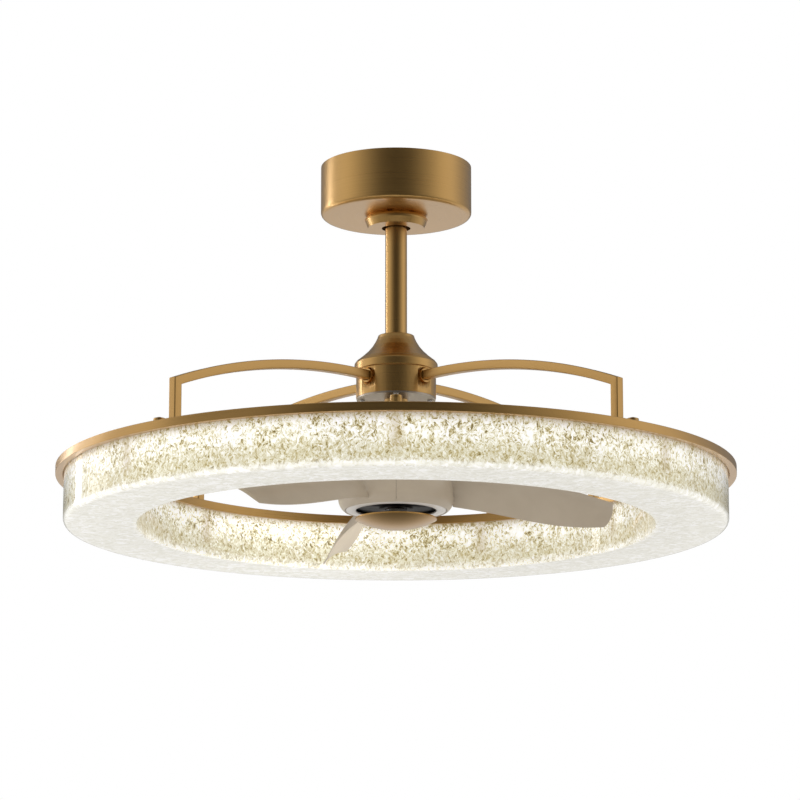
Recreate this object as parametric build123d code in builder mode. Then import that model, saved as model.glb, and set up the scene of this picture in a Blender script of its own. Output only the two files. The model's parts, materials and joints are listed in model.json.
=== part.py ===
from build123d import *
import os
from math import cos, degrees, radians, sin, sqrt

os.makedirs("parts", exist_ok=True)

# Chandelier ceiling fan, in millimetres, +Z up.
# The origin is the centre of the ceiling plane, on top of the bracket.
# A ring light on four arched arms surrounds three short blades on a gearless motor.

# Clearances shared by all pieces
fit_gap = 0.3
thread_gap = 0.1
running_gap = 0.05
overrun = 5

# Ceiling bracket: a round plate, two legs and a lower seat for the hanger ball
bracket_inset = 15
bracket_thickness = 2.5
wire_entry_radius = 20
ceiling_hole_spacing = 88.9
ceiling_hole_radius = 2.75
bracket_leg_width = 36
seat_plate_radius = 36
seat_depth = 47
seat_hole_radius = 16.5
key_height = 8
key_width = 4

# Boxes under the bracket plate
receiver_length = 76
receiver_width = 32
receiver_height = 24
receiver_edge = 3
receiver_inset = 36
terminal_length = 36
terminal_width = 14
terminal_height = 12
terminal_inset = 38
terminal_count = 3
terminal_bore_radius = 2.5

# Canopy and the collar that covers its screws
canopy_radius = 90
canopy_height = 61
canopy_wall = 1.5
canopy_edge_radius = 5
canopy_hole_radius = 24
canopy_screw_circle = 28.5
canopy_screw_radius = 2
canopy_screw_head_radius = 3.2
canopy_screw_head_height = 2.4
collar_top_radius = 35
collar_belly_radius = 37.7
collar_bottom_radius = 33.5
collar_height = 14
collar_belly_drop = 4
collar_wall = 1.4
collar_flange = 1
collar_lip_radius = 23
collar_hole_radius = 17.2
keyhole_turn = 18

# Hanger ball and downrod
ball_radius = 19.8
ball_gap = 0.2
ball_half_height = 13.5
swing_limit = 4
rod_radius = 13
rod_wall = 1.6
rod_stub = 5.2
rod_end_rise = 11
hanger_pin_radius = 3
hanger_pin_half_length = 17
hanger_pin_rise = 6
set_screw_radius = 2.5
ball_screw_drop = 5.3
ball_screw_length = 4.5

# Bell over the joint of downrod and hub
bell_top_radius = 20.5
bell_flare_radius = 42
bell_radius = 49.5
bell_foot_radius = 48
bell_height = 44
bell_flare_drop = 31.5
bell_band_drop = 35.8
bell_wall = 2.2
bell_band_wall = 4
bell_waist_share = 0.33
bell_waist_drop_share = 0.46

# Rod coupling
coupling_radius = 16.5
coupling_height = 37
coupling_flange_radius = 30
coupling_flange = 6
coupling_wire_radius = 10
clevis_pin_radius = 3
clevis_pin_half_length = 19
clevis_pin_rise = 23
coupling_screw_rise = 29
coupling_screw_length = 6.9
flange_screw_circle = 23
flange_screw_radius = 2.5
flange_screw_head_radius = 4.2
flange_screw_head_height = 3.5
flange_screw_count = 4

# Arm hub
hub_top_depth = 251
hub_radius = 47.3
hub_wall = 4
hub_roof = 3.5
hub_height = 32
hub_base_radius = 46.8
hub_base_thickness = 2
hub_screw_circle = 40
hub_screw_radius = 1.6
hub_screw_length = 12
hub_screw_head_radius = 3
hub_screw_head_height = 1.6
hub_screw_post_radius = 4.5
driver_length = 30
driver_width = 18
driver_height = 23
driver_gap = 2
driver_edge = 2

# Arms: square bar bent to a large radius, mitred into an upright post
arm_count = 4
arm_bar = 10.5
arm_edge = 1.2
arm_crown_drop = 5.5
arm_height = 114.5
arm_crown_offset = 70
arm_bend_radius = 753
arm_inner_end = 43
arm_post_inset = 52
socket_radius = 8.2
socket_length = 7.3
socket_hole_radius = 9.6
socket_floor = 42
socket_boss_radius = 11
socket_boss_start = 34
stud_radius = 4
stud_end = 29
nut_height = 4.2
nut_radius = 7.4
foot_screw_radius = 2.5
foot_screw_head_radius = 4.5
foot_screw_head_height = 2.8
foot_screw_length = 18

# Ring light
ring_radius = 400
ring_width = 103
ring_height = 10
ring_roof = 2.5
ring_outer_lip = 8.5
ring_inner_lip = 5.5
lens_outer_inset = 10
lens_inner_inset = 7
lens_wall = 4
lens_height = 65.1
lens_edge_radius = 6
lens_inner_edge_radius = 2
lens_boss_radius = 8
lens_boss_height = 12
lens_thread_depth = 10
liner_gap = 0.5
liner_wall = 2
liner_top_gap = 6
board_inner_inset = 25
board_outer_inset = 28
board_thickness = 1.6
chip_inset = 11
chip_count = 36
chip_size = 3.5
chip_height = 1
bolt_inset = 54
bolt_angles = (270, 220, 320, 69.5, 140, 30)
bolt_radius = 3
bolt_tip = 1.2
knob_radius = 6.8
knob_height = 18
knob_edge = 1

# Lower stem and motor
stem_radius = 14
stem_wall = 2.5
stem_flange_radius = 28
stem_flange = 4
stem_length = 107.5
motor_sleeve_radius = 18.5
motor_sleeve_height = 17
motor_flange_radius = 28
motor_flange_thickness = 5
motor_wire_radius = 11
motor_pin_radius = 2.5
motor_pin_rise = 10
motor_pin_half_length = 18
motor_screw_circle = 23.3
motor_screw_radius = 2
motor_screw_head_radius = 3.8
motor_screw_head_height = 3.5
motor_screw_count = 4
shaft_radius = 8.5
shaft_bore_radius = 4
shaft_bore_depth = 38
shaft_flange = 4
shaft_end_drop = 20

# Stator
stator_drop = 14
stator_floor_gap = 7.5
stator_radius = 43.8
stator_hub_radius = 18
stator_teeth = 12
tooth_width = 6
tooth_shoe = 3.3
slot_opening = 3
coil_start = 23
coil_length = 16
coil_build = 2.6
coil_edge = 2

# Rotor
rotor_gap = 5
rotor_shell_radius = 50.5
rotor_shell_wall = 3
rotor_shell_roof = 2.5
rotor_height = 35.5
rotor_base_thickness = 2.5
bearing_radius = 17.5
bearing_height = 10
bearing_seat_wall = 3
bearing_lip_radius = 13.5
bearing_lip = 1.5
bearing_drop = 0.5
magnet_thickness = 2.9
magnet_floor_gap = 3.5
magnet_offset = 10
rotor_screw_circle = 49
rotor_screw_radius = 1
rotor_screw_head_radius = 1.5
rotor_screw_head_height = 2
rotor_screw_length = 10
rotor_screw_count = 3
nut_flange_radius = 10.5
nut_flange = 2.2
shaft_nut_radius = 13
shaft_nut_height = 5.5

# Drum sectors and blades
blade_count = 3
first_seam = 270
seam_gap = 0.3
drum_radius = 68
drum_drop = 2
drum_curve = 14
drum_rim_radius = 61.2
drum_top_edge = 2
drum_groove_radius = 60
drum_wall = 2.5
drum_floor = 3
blade_screw_circle = 55.3
blade_screw_radius = 1.5
blade_screw_head_radius = 2.6
blade_screw_length = 12
blade_screw_post_radius = 3.6
blade_screw_turn = 35
blade_turn = 14
blade_root = 58
blade_tip_gap = 31
blade_root_rise = 6.7
blade_droop = 33
blade_chord = 40
blade_thickness = 3
blade_edge_thickness = 1.6
blade_camber = 4.5
blade_tip_radius = 26
blade_tip_setback = 10

# Each row: place along the span, offset and droop of the low edge, width and rise of the blade.
# Offset, width and rise are shares of the chord, place and droop are shares of span and droop.
blade_station_shares = (
    (0.00, 0.44, 0.00, 0.55, 0.72),
    (0.18, 0.67, 0.20, 0.72, 0.90),
    (0.36, 0.85, 0.45, 0.91, 1.00),
    (0.54, 0.92, 0.71, 1.02, 1.02),
    (0.71, 0.87, 0.89, 1.04, 0.92),
    (0.87, 0.80, 0.96, 0.93, 0.70),
    (1.00, 0.74, 0.94, 0.78, 0.46),
)

# Blade ring and end cap
blade_ring_hole = 47.3
blade_ring_plate = 2
blade_ring_lip = 1.5
cap_radius = 48
cap_height = 13
cap_drop = 6
cap_rim_height = 1.5
cap_wall = 1.8
cap_boss_radius = 12
cap_boss_rise = 3.8

# Heights worked out from the sizes above, as depths below the ceiling
bracket_radius = canopy_radius - bracket_inset
receiver_offset = canopy_radius - receiver_inset
terminal_offset = canopy_radius - terminal_inset
ball_depth = seat_depth - sqrt((ball_radius + ball_gap) ** 2 - seat_hole_radius**2)
rod_top_depth = ball_depth - ball_half_height - rod_stub
rod_bottom_depth = hub_top_depth - rod_end_rise
rod_length = rod_bottom_depth - rod_top_depth
collar_bottom_depth = canopy_height + collar_height
bell_top_depth = hub_top_depth - bell_height
coupling_top_depth = hub_top_depth - coupling_height
stem_top_depth = hub_top_depth + hub_roof
hub_bottom_depth = hub_top_depth + hub_height
arm_crown_depth = hub_top_depth + arm_crown_drop
arm_arc_depth = arm_crown_depth + arm_bend_radius
arm_middle_radius = arm_bend_radius - arm_bar / 2
arm_axis_depth = arm_arc_depth - sqrt(arm_middle_radius**2 - (arm_crown_offset - arm_inner_end) ** 2)
arm_post_offset = ring_radius - arm_post_inset
ring_top_depth = arm_crown_depth + arm_height
ring_roof_depth = ring_top_depth + ring_roof
ring_hole_radius = ring_radius - ring_width
lens_radius = ring_radius - lens_outer_inset
lens_hole_radius = ring_hole_radius + lens_inner_inset
lens_bottom_depth = ring_roof_depth + lens_height
lens_floor_depth = lens_bottom_depth - lens_wall
board_inner_radius = ring_hole_radius + board_inner_inset
board_outer_radius = ring_radius - board_outer_inset
chip_circles = (board_inner_radius + chip_inset, board_outer_radius - chip_inset)
bolt_circle = ring_radius - bolt_inset
stem_bottom_depth = stem_top_depth + stem_length
shaft_flange_depth = stem_bottom_depth + motor_flange_thickness
shaft_top_depth = shaft_flange_depth + shaft_flange
rotor_top_depth = shaft_top_depth + rotor_gap
rotor_floor_depth = rotor_top_depth + rotor_height
stator_top_depth = rotor_top_depth + stator_drop
stator_stack = rotor_floor_depth - stator_floor_gap - stator_top_depth
magnet_height = rotor_height - magnet_offset - magnet_floor_gap
upper_bearing_depth = rotor_top_depth + rotor_shell_roof
rotor_base_bottom_depth = rotor_floor_depth + rotor_base_thickness
rotor_base_radius = drum_groove_radius - fit_gap
blade_ring_radius = drum_groove_radius - fit_gap
bearing_floor_depth = rotor_base_bottom_depth + bearing_drop
lower_bearing_depth = bearing_floor_depth - bearing_height
blade_ring_top_depth = rotor_base_bottom_depth + rotor_screw_head_height
drum_top_depth = rotor_top_depth + drum_drop
drum_bottom_depth = blade_ring_top_depth + blade_ring_plate
drum_straight = drum_bottom_depth - drum_curve - drum_top_depth
blade_root_depth = drum_bottom_depth - blade_root_rise
blade_tip = ring_hole_radius - blade_tip_gap
blade_span = blade_tip - blade_root
shaft_bottom_depth = rotor_base_bottom_depth + shaft_end_drop
cap_bottom_depth = shaft_bottom_depth + cap_drop
cap_rim_depth = cap_bottom_depth - cap_height
arm_angles = [45 + 90 * index for index in range(arm_count)]
seam_angles = [first_seam + 360 / blade_count * index for index in range(blade_count)]


def upright(angle, offset=0):
    # A vertical plane through the fan's axis; its x runs outward at the given angle.
    direction = Vector(cos(radians(angle)), sin(radians(angle)), 0)
    normal = Vector(sin(radians(angle)), -cos(radians(angle)), 0)
    return Plane(origin=direction * offset, x_dir=direction, z_dir=normal)


def outward(angle, offset, depth):
    # A plane square to a radius at the given offset and depth; its y runs up.
    direction = Vector(cos(radians(angle)), sin(radians(angle)), 0)
    sideways = Vector(-sin(radians(angle)), cos(radians(angle)), 0)
    return Plane(origin=direction * offset - Vector(0, 0, depth), x_dir=sideways, z_dir=direction)


# Ceiling bracket
with BuildPart() as ceiling_bracket:
    with BuildSketch():
        Circle(bracket_radius)
        Circle(wire_entry_radius, mode=Mode.SUBTRACT)
        with GridLocations(ceiling_hole_spacing, 0, 2, 1):
            Circle(ceiling_hole_radius, mode=Mode.SUBTRACT)
    extrude(amount=-bracket_thickness)
    with BuildSketch(Plane.XY.offset(-bracket_thickness)):
        with GridLocations(2 * seat_plate_radius - bracket_thickness, 0, 2, 1):
            Rectangle(bracket_thickness, bracket_leg_width)
    extrude(amount=bracket_thickness - seat_depth)
    with BuildSketch(Plane.XY.offset(-seat_depth)):
        Circle(seat_plate_radius)
        Rectangle(2 * seat_plate_radius, bracket_leg_width)
        Circle(seat_hole_radius, mode=Mode.SUBTRACT)
        with PolarLocations(canopy_screw_circle, 2, start_angle=90):
            Circle(canopy_screw_radius + thread_gap, mode=Mode.SUBTRACT)
    extrude(amount=-bracket_thickness)
    # The key that keeps the ball from turning stands beside the seat hole.
    with BuildSketch(Plane.XY.offset(-seat_depth)):
        with Locations((seat_hole_radius + fit_gap + bracket_thickness / 2, 0)):
            Rectangle(bracket_thickness, key_width)
    extrude(amount=key_height)
ceiling_bracket.part.label = "ceiling_bracket"
export_step(ceiling_bracket.part, "parts/ceiling_bracket.step")

# Receiver box on the underside of the bracket plate
with BuildPart() as receiver_box:
    with BuildSketch(Plane.XY.offset(-bracket_thickness)):
        with Locations((0, receiver_offset)):
            RectangleRounded(receiver_length, receiver_width, receiver_edge)
    extrude(amount=-receiver_height)
receiver_box.part.label = "receiver_box"
export_step(receiver_box.part, "parts/receiver_box.step")

# Terminal block with one bore for each supply wire
with BuildPart() as terminal_block:
    with BuildSketch(Plane.XY.offset(-bracket_thickness)):
        with Locations((0, -terminal_offset)):
            Rectangle(terminal_length, terminal_width)
    extrude(amount=-terminal_height)
    with BuildSketch(Plane.XZ.offset(terminal_offset)):
        with Locations((0, -bracket_thickness - terminal_height / 2)):
            with GridLocations(terminal_length / terminal_count, 0, terminal_count, 1):
                Circle(terminal_bore_radius)
    extrude(amount=terminal_width, both=True, mode=Mode.SUBTRACT)
terminal_block.part.label = "terminal_block"
export_step(terminal_block.part, "parts/terminal_block.step")

# Canopy: a spun cup with a rounded lower edge
with BuildPart() as canopy:
    with BuildSketch(Plane.XZ) as canopy_profile:
        with BuildLine():
            Polyline(
                (canopy_radius, 0),
                (canopy_radius, -canopy_height),
                (canopy_hole_radius, -canopy_height),
                (canopy_hole_radius, canopy_wall - canopy_height),
                (canopy_radius - canopy_wall, canopy_wall - canopy_height),
                (canopy_radius - canopy_wall, 0),
                close=True,
            )
        make_face()
        outer_corner = canopy_profile.vertices().group_by(Axis.Y)[0].sort_by(Axis.X)[-1]
        fillet(outer_corner, radius=canopy_edge_radius)
        inner_corner = canopy_profile.vertices().sort_by_distance(
            (canopy_radius - canopy_wall, canopy_wall - canopy_height)
        )[0]
        fillet(inner_corner, radius=canopy_edge_radius - canopy_wall)
    revolve(axis=Axis.Z)
    with BuildSketch(Plane.XY.offset(-canopy_height)):
        with PolarLocations(canopy_screw_circle, 2, start_angle=90):
            Circle(canopy_screw_radius + fit_gap)
    extrude(amount=canopy_wall, mode=Mode.SUBTRACT)
canopy.part.label = "canopy"
export_step(canopy.part, "parts/canopy.step")

# Collar: its top flange turns onto the two canopy screws by keyholes
collar_slot_radius = canopy_screw_radius + fit_gap
collar_slot_angles = [90 + 180 * side for side in range(2)]
with BuildPart() as canopy_collar:
    with BuildSketch(Plane.XZ):
        with BuildLine():
            Polyline(
                (collar_top_radius, -canopy_height),
                (collar_belly_radius, -canopy_height - collar_belly_drop),
                (collar_bottom_radius, -collar_bottom_depth),
                (collar_hole_radius, -collar_bottom_depth),
                (collar_hole_radius, collar_wall - collar_bottom_depth),
                (collar_bottom_radius - collar_wall, collar_wall - collar_bottom_depth),
                (collar_belly_radius - collar_wall, -canopy_height - collar_belly_drop),
                (collar_top_radius - collar_wall, -canopy_height - collar_flange),
                (collar_lip_radius, -canopy_height - collar_flange),
                (collar_lip_radius, -canopy_height),
                close=True,
            )
        make_face()
    revolve(axis=Axis.Z)
    with BuildSketch(Plane.XY.offset(-canopy_height - collar_flange)):
        for slot_angle in collar_slot_angles:
            SlotArc(CenterArc((0, 0), canopy_screw_circle, slot_angle, keyhole_turn), 2 * collar_slot_radius)
            with PolarLocations(canopy_screw_circle, 1, start_angle=slot_angle + keyhole_turn):
                Circle(canopy_screw_head_radius + fit_gap)
    extrude(amount=collar_flange, mode=Mode.SUBTRACT)
canopy_collar.part.label = "canopy_collar"
export_step(canopy_collar.part, "parts/canopy_collar.step")

# Canopy screws, heads under the collar's flange
canopy_screw_head_depth = canopy_height + collar_flange
with BuildPart() as canopy_screws:
    with BuildSketch(Plane.XY.offset(-canopy_screw_head_depth)):
        with PolarLocations(canopy_screw_circle, 2, start_angle=90):
            Circle(canopy_screw_radius)
    extrude(amount=canopy_screw_head_depth - seat_depth + bracket_thickness)
    with BuildSketch(Plane.XY.offset(-canopy_screw_head_depth)):
        with PolarLocations(canopy_screw_circle, 2, start_angle=90):
            Circle(canopy_screw_head_radius)
    extrude(amount=-canopy_screw_head_height)
canopy_screws.part.label = "canopy_screws"
export_step(canopy_screws.part, "parts/canopy_screws.step")

# Hanger ball: it rests in the bracket seat, carries the rod on a cross pin and has a key slot
ball_bore_radius = rod_radius + thread_gap
ball_flat_radius = sqrt(ball_radius**2 - ball_half_height**2)
ball_top = ball_half_height - ball_depth
ball_bottom = -ball_half_height - ball_depth
hanger_pin_depth = ball_depth - hanger_pin_rise
pin_slot_radius = hanger_pin_radius + running_gap
key_play = (ball_half_height + key_width) * sin(radians(swing_limit)) + fit_gap
with BuildPart() as hanger_ball:
    with BuildSketch(Plane.XZ):
        with BuildLine():
            ThreePointArc(
                (ball_flat_radius, ball_top), (ball_radius, -ball_depth), (ball_flat_radius, ball_bottom)
            )
            Polyline(
                (ball_flat_radius, ball_bottom),
                (ball_bore_radius, ball_bottom),
                (ball_bore_radius, ball_top),
                (ball_flat_radius, ball_top),
            )
        make_face()
    revolve(axis=Axis.Z)
    with BuildSketch(Plane.YZ):
        with Locations((0, -hanger_pin_depth)):
            Circle(pin_slot_radius)
        with Locations((0, overrun + ball_half_height / 2 - hanger_pin_depth)):
            Rectangle(2 * pin_slot_radius, ball_half_height + 2 * overrun)
    extrude(amount=hanger_pin_half_length + fit_gap, both=True, mode=Mode.SUBTRACT)
    with BuildSketch(Plane.XY.offset(ball_bottom)):
        with Locations((seat_hole_radius + ball_radius / 2, 0)):
            Rectangle(ball_radius, key_width + 2 * key_play)
    extrude(amount=key_height - seat_depth + key_play - ball_bottom, mode=Mode.SUBTRACT)
    with BuildSketch(Plane.XZ):
        with Locations((0, -ball_depth - ball_screw_drop)):
            Circle(set_screw_radius + thread_gap)
    extrude(amount=ball_radius + overrun, mode=Mode.SUBTRACT)
hanger_ball.part.label = "hanger_ball"
export_step(hanger_ball.part, "parts/hanger_ball.step")

# Cross pin of the ball
with BuildPart() as hanger_pin:
    with BuildSketch(Plane.YZ):
        with Locations((0, -hanger_pin_depth)):
            Circle(hanger_pin_radius)
    extrude(amount=hanger_pin_half_length, both=True)
hanger_pin.part.label = "hanger_pin"
export_step(hanger_pin.part, "parts/hanger_pin.step")

# Set screw that locks the rod in the ball
with BuildPart() as ball_set_screw:
    with BuildSketch(Plane.XZ.offset(rod_radius + running_gap)):
        with Locations((0, -ball_depth - ball_screw_drop)):
            Circle(set_screw_radius)
    extrude(amount=ball_screw_length)
ball_set_screw.part.label = "ball_set_screw"
export_step(ball_set_screw.part, "parts/ball_set_screw.step")

# Downrod, a tube cross-drilled for both pins
clevis_pin_depth = hub_top_depth - clevis_pin_rise
with BuildPart() as downrod:
    with BuildSketch(Plane.XY.offset(-rod_top_depth)):
        Circle(rod_radius)
        Circle(rod_radius - rod_wall, mode=Mode.SUBTRACT)
    extrude(amount=-rod_length)
    with BuildSketch(Plane.YZ):
        with Locations((0, -hanger_pin_depth)):
            Circle(hanger_pin_radius + running_gap)
        with Locations((0, -clevis_pin_depth)):
            Circle(clevis_pin_radius + running_gap)
    extrude(amount=rod_radius + overrun, both=True, mode=Mode.SUBTRACT)
downrod.part.label = "downrod"
export_step(downrod.part, "parts/downrod.step")

# Yoke cover: a flared bell that rests on the hub
bell_waist_radius = bell_top_radius + (bell_flare_radius - bell_top_radius) * bell_waist_share
bell_waist_drop = bell_flare_drop * bell_waist_drop_share
bell_opening = rod_radius + 2 * fit_gap
bell_band_inner = bell_foot_radius - bell_band_wall
with BuildPart() as yoke_cover:
    with BuildSketch(Plane.XZ):
        with BuildLine():
            Line((bell_opening, -bell_top_depth), (bell_top_radius, -bell_top_depth))
            Spline(
                (bell_top_radius, -bell_top_depth),
                (bell_waist_radius, -bell_top_depth - bell_waist_drop),
                (bell_flare_radius, -bell_top_depth - bell_flare_drop),
            )
            Line(
                (bell_flare_radius, -bell_top_depth - bell_flare_drop),
                (bell_radius - bell_wall / 2, -bell_top_depth - bell_band_drop),
            )
            ThreePointArc(
                (bell_radius - bell_wall / 2, -bell_top_depth - bell_band_drop),
                (bell_radius, -bell_top_depth - bell_band_drop - bell_wall),
                (bell_foot_radius, -hub_top_depth),
            )
            Polyline(
                (bell_foot_radius, -hub_top_depth),
                (bell_band_inner, -hub_top_depth),
                (bell_band_inner, -bell_top_depth - bell_band_drop - bell_wall),
                (bell_flare_radius - bell_wall, -bell_top_depth - bell_flare_drop - bell_wall / 2),
            )
            Spline(
                (bell_flare_radius - bell_wall, -bell_top_depth - bell_flare_drop - bell_wall / 2),
                (bell_waist_radius - bell_wall, -bell_top_depth - bell_waist_drop - bell_wall / 2),
                (bell_top_radius - bell_wall / 2, -bell_top_depth - bell_wall),
            )
            Polyline(
                (bell_top_radius - bell_wall / 2, -bell_top_depth - bell_wall),
                (bell_opening, -bell_top_depth - bell_wall),
                (bell_opening, -bell_top_depth),
            )
        make_face()
    revolve(axis=Axis.Z)
yoke_cover.part.label = "yoke_cover"
export_step(yoke_cover.part, "parts/yoke_cover.step")

# Rod coupling: a sleeve for the rod on a flange that bolts to the hub
coupling_flange_depth = hub_top_depth - coupling_flange
flange_screw_head_depth = coupling_flange_depth - flange_screw_head_height
with BuildPart() as rod_coupling:
    with BuildSketch(Plane.XY.offset(-coupling_top_depth)):
        Circle(coupling_radius)
    extrude(amount=-coupling_height)
    with BuildSketch(Plane.XY.offset(-coupling_flange_depth)):
        Circle(coupling_flange_radius)
        with PolarLocations(flange_screw_circle, flange_screw_count):
            Circle(flange_screw_radius + fit_gap, mode=Mode.SUBTRACT)
    extrude(amount=-coupling_flange)
    with BuildSketch(Plane.XY.offset(-coupling_top_depth)):
        Circle(rod_radius + thread_gap)
    extrude(amount=coupling_top_depth - rod_bottom_depth, mode=Mode.SUBTRACT)
    with BuildSketch(Plane.XY.offset(-rod_bottom_depth)):
        Circle(coupling_wire_radius)
    extrude(amount=rod_bottom_depth - hub_top_depth, mode=Mode.SUBTRACT)
    with BuildSketch(Plane.YZ):
        with Locations((0, -clevis_pin_depth)):
            Circle(clevis_pin_radius + running_gap)
    extrude(amount=coupling_radius + overrun, both=True, mode=Mode.SUBTRACT)
    with BuildSketch(Plane.XZ):
        with Locations((0, coupling_screw_rise - hub_top_depth)):
            Circle(set_screw_radius + thread_gap)
    extrude(amount=coupling_radius + overrun, both=True, mode=Mode.SUBTRACT)
rod_coupling.part.label = "rod_coupling"
export_step(rod_coupling.part, "parts/rod_coupling.step")

# Clevis pin through coupling and rod
with BuildPart() as coupling_pin:
    with BuildSketch(Plane.YZ):
        with Locations((0, -clevis_pin_depth)):
            Circle(clevis_pin_radius)
    extrude(amount=clevis_pin_half_length, both=True)
coupling_pin.part.label = "coupling_pin"
export_step(coupling_pin.part, "parts/coupling_pin.step")

# Two set screws that stop the rod's rattle in the coupling
with BuildPart() as coupling_screws:
    for side in (0, 180):
        with BuildSketch(outward(90 + side, rod_radius + running_gap, hub_top_depth - coupling_screw_rise)):
            Circle(set_screw_radius)
        extrude(amount=coupling_screw_length)
coupling_screws.part.label = "coupling_screws"
export_step(coupling_screws.part, "parts/coupling_screws.step")

# Flange screws through coupling, hub roof and stem flange
flange_screw_length = coupling_flange + hub_roof + stem_flange
with BuildPart() as flange_screws:
    with BuildSketch(Plane.XY.offset(-coupling_flange_depth)):
        with PolarLocations(flange_screw_circle, flange_screw_count):
            Circle(flange_screw_radius)
    extrude(amount=-flange_screw_length)
    with BuildSketch(Plane.XY.offset(-flange_screw_head_depth)):
        with PolarLocations(flange_screw_circle, flange_screw_count):
            Circle(flange_screw_head_radius)
    extrude(amount=-flange_screw_head_height)
flange_screws.part.label = "flange_screws"
export_step(flange_screws.part, "parts/flange_screws.step")

# Arm hub: a casting with four bored bosses for the arms and four screw posts for its base
hub_inner_radius = hub_radius - hub_wall
with BuildPart() as arm_hub:
    with BuildSketch(Plane.XY.offset(-hub_top_depth)):
        Circle(hub_radius)
    extrude(amount=-hub_height)
    with BuildSketch(Plane.XY.offset(-hub_bottom_depth)):
        Circle(hub_inner_radius)
    extrude(amount=hub_height - hub_roof, mode=Mode.SUBTRACT)
    with BuildSketch(Plane.XY.offset(-hub_bottom_depth)):
        with PolarLocations(hub_screw_circle, arm_count):
            Circle(hub_screw_post_radius)
    extrude(amount=hub_height - hub_roof)
    for arm_angle in arm_angles:
        with BuildSketch(outward(arm_angle, socket_boss_start, arm_axis_depth)):
            Circle(socket_boss_radius)
        extrude(amount=hub_radius - hub_wall / 2 - socket_boss_start)
    for arm_angle in arm_angles:
        with BuildSketch(outward(arm_angle, socket_floor, arm_axis_depth)):
            Circle(socket_hole_radius)
        extrude(amount=hub_radius, mode=Mode.SUBTRACT)
        with BuildSketch(outward(arm_angle, stud_end, arm_axis_depth)):
            Circle(stud_radius + thread_gap)
        extrude(amount=hub_radius, mode=Mode.SUBTRACT)
    with BuildSketch(Plane.XY.offset(-hub_top_depth)):
        Circle(coupling_wire_radius)
        with PolarLocations(flange_screw_circle, flange_screw_count):
            Circle(flange_screw_radius + fit_gap)
    extrude(amount=-hub_roof, mode=Mode.SUBTRACT)
    with BuildSketch(Plane.XY.offset(-hub_bottom_depth)):
        with PolarLocations(hub_screw_circle, arm_count):
            Circle(hub_screw_radius + thread_gap)
    extrude(amount=hub_screw_length, mode=Mode.SUBTRACT)
arm_hub.part.label = "arm_hub"
export_step(arm_hub.part, "parts/arm_hub.step")

# Hub base: a plate round the stem
hub_base_bottom_depth = hub_bottom_depth + hub_base_thickness
with BuildPart() as hub_base:
    with BuildSketch(Plane.XY.offset(-hub_bottom_depth)):
        Circle(hub_base_radius)
        Circle(stem_radius + fit_gap, mode=Mode.SUBTRACT)
        with PolarLocations(hub_screw_circle, arm_count):
            Circle(hub_screw_radius + fit_gap, mode=Mode.SUBTRACT)
    extrude(amount=-hub_base_thickness)
hub_base.part.label = "hub_base"
export_step(hub_base.part, "parts/hub_base.step")

# Screws of the hub base
with BuildPart() as hub_base_screws:
    with BuildSketch(Plane.XY.offset(-hub_base_bottom_depth)):
        with PolarLocations(hub_screw_circle, arm_count):
            Circle(hub_screw_radius)
    extrude(amount=hub_screw_length)
    with BuildSketch(Plane.XY.offset(-hub_base_bottom_depth)):
        with PolarLocations(hub_screw_circle, arm_count):
            Circle(hub_screw_head_radius)
    extrude(amount=-hub_screw_head_height)
hub_base_screws.part.label = "hub_base_screws"
export_step(hub_base_screws.part, "parts/hub_base_screws.step")

# Driver of the ring light, standing on the hub base beside the stem
with BuildPart() as led_driver:
    with BuildSketch(Plane.XY.offset(-hub_bottom_depth)):
        with Locations((stem_radius + driver_gap + driver_width / 2, 0)):
            RectangleRounded(driver_width, driver_length, driver_edge)
    extrude(amount=driver_height)
led_driver.part.label = "led_driver"
export_step(led_driver.part, "parts/led_driver.step")


def arm_middle(offset):
    # Point of the arm's middle line at a distance from the axis.
    return Vector(offset, 0, sqrt(arm_middle_radius**2 - (offset - arm_crown_offset) ** 2) - arm_arc_depth)


# Arms: arched square bars that turn down into posts, with a threaded stud at the hub end
arm_names = ("arm_rear_right", "arm_rear_left", "arm_front_left", "arm_front_right")
arm_halfway = (arm_inner_end + arm_post_offset) / 2
with BuildPart() as arm_blank:
    with BuildLine() as arm_line:
        ThreePointArc(arm_middle(arm_inner_end), arm_middle(arm_halfway), arm_middle(arm_post_offset))
        Line(arm_middle(arm_post_offset), (arm_post_offset, 0, -ring_top_depth))
    with BuildSketch(Plane(origin=arm_line.line @ 0, x_dir=(0, 1, 0), z_dir=arm_line.line % 0)):
        RectangleRounded(arm_bar, arm_bar, arm_edge)
    sweep(transition=Transition.RIGHT)
    with BuildSketch(outward(0, stud_end, arm_axis_depth)):
        Circle(stud_radius)
    extrude(amount=arm_inner_end - stud_end)
    with BuildSketch(Plane.XY.offset(-ring_top_depth)):
        with Locations((arm_post_offset, 0)):
            Circle(foot_screw_radius + thread_gap)
    extrude(amount=foot_screw_length, mode=Mode.SUBTRACT)
for arm_name, arm_angle in zip(arm_names, arm_angles):
    with BuildPart() as arm:
        add(arm_blank.part, rotation=(0, 0, arm_angle))
    arm.part.label = arm_name
    export_step(arm.part, f"parts/{arm_name}.step")

# Sockets: round ferrules between hub and bars
with BuildPart() as arm_sockets:
    for arm_angle in arm_angles:
        with BuildSketch(outward(arm_angle, socket_floor, arm_axis_depth)):
            Circle(socket_radius)
            RectangleRounded(arm_bar + 2 * fit_gap, arm_bar + 2 * fit_gap, arm_edge, mode=Mode.SUBTRACT)
        extrude(amount=socket_length)
arm_sockets.part.label = "arm_sockets"
export_step(arm_sockets.part, "parts/arm_sockets.step")

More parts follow.
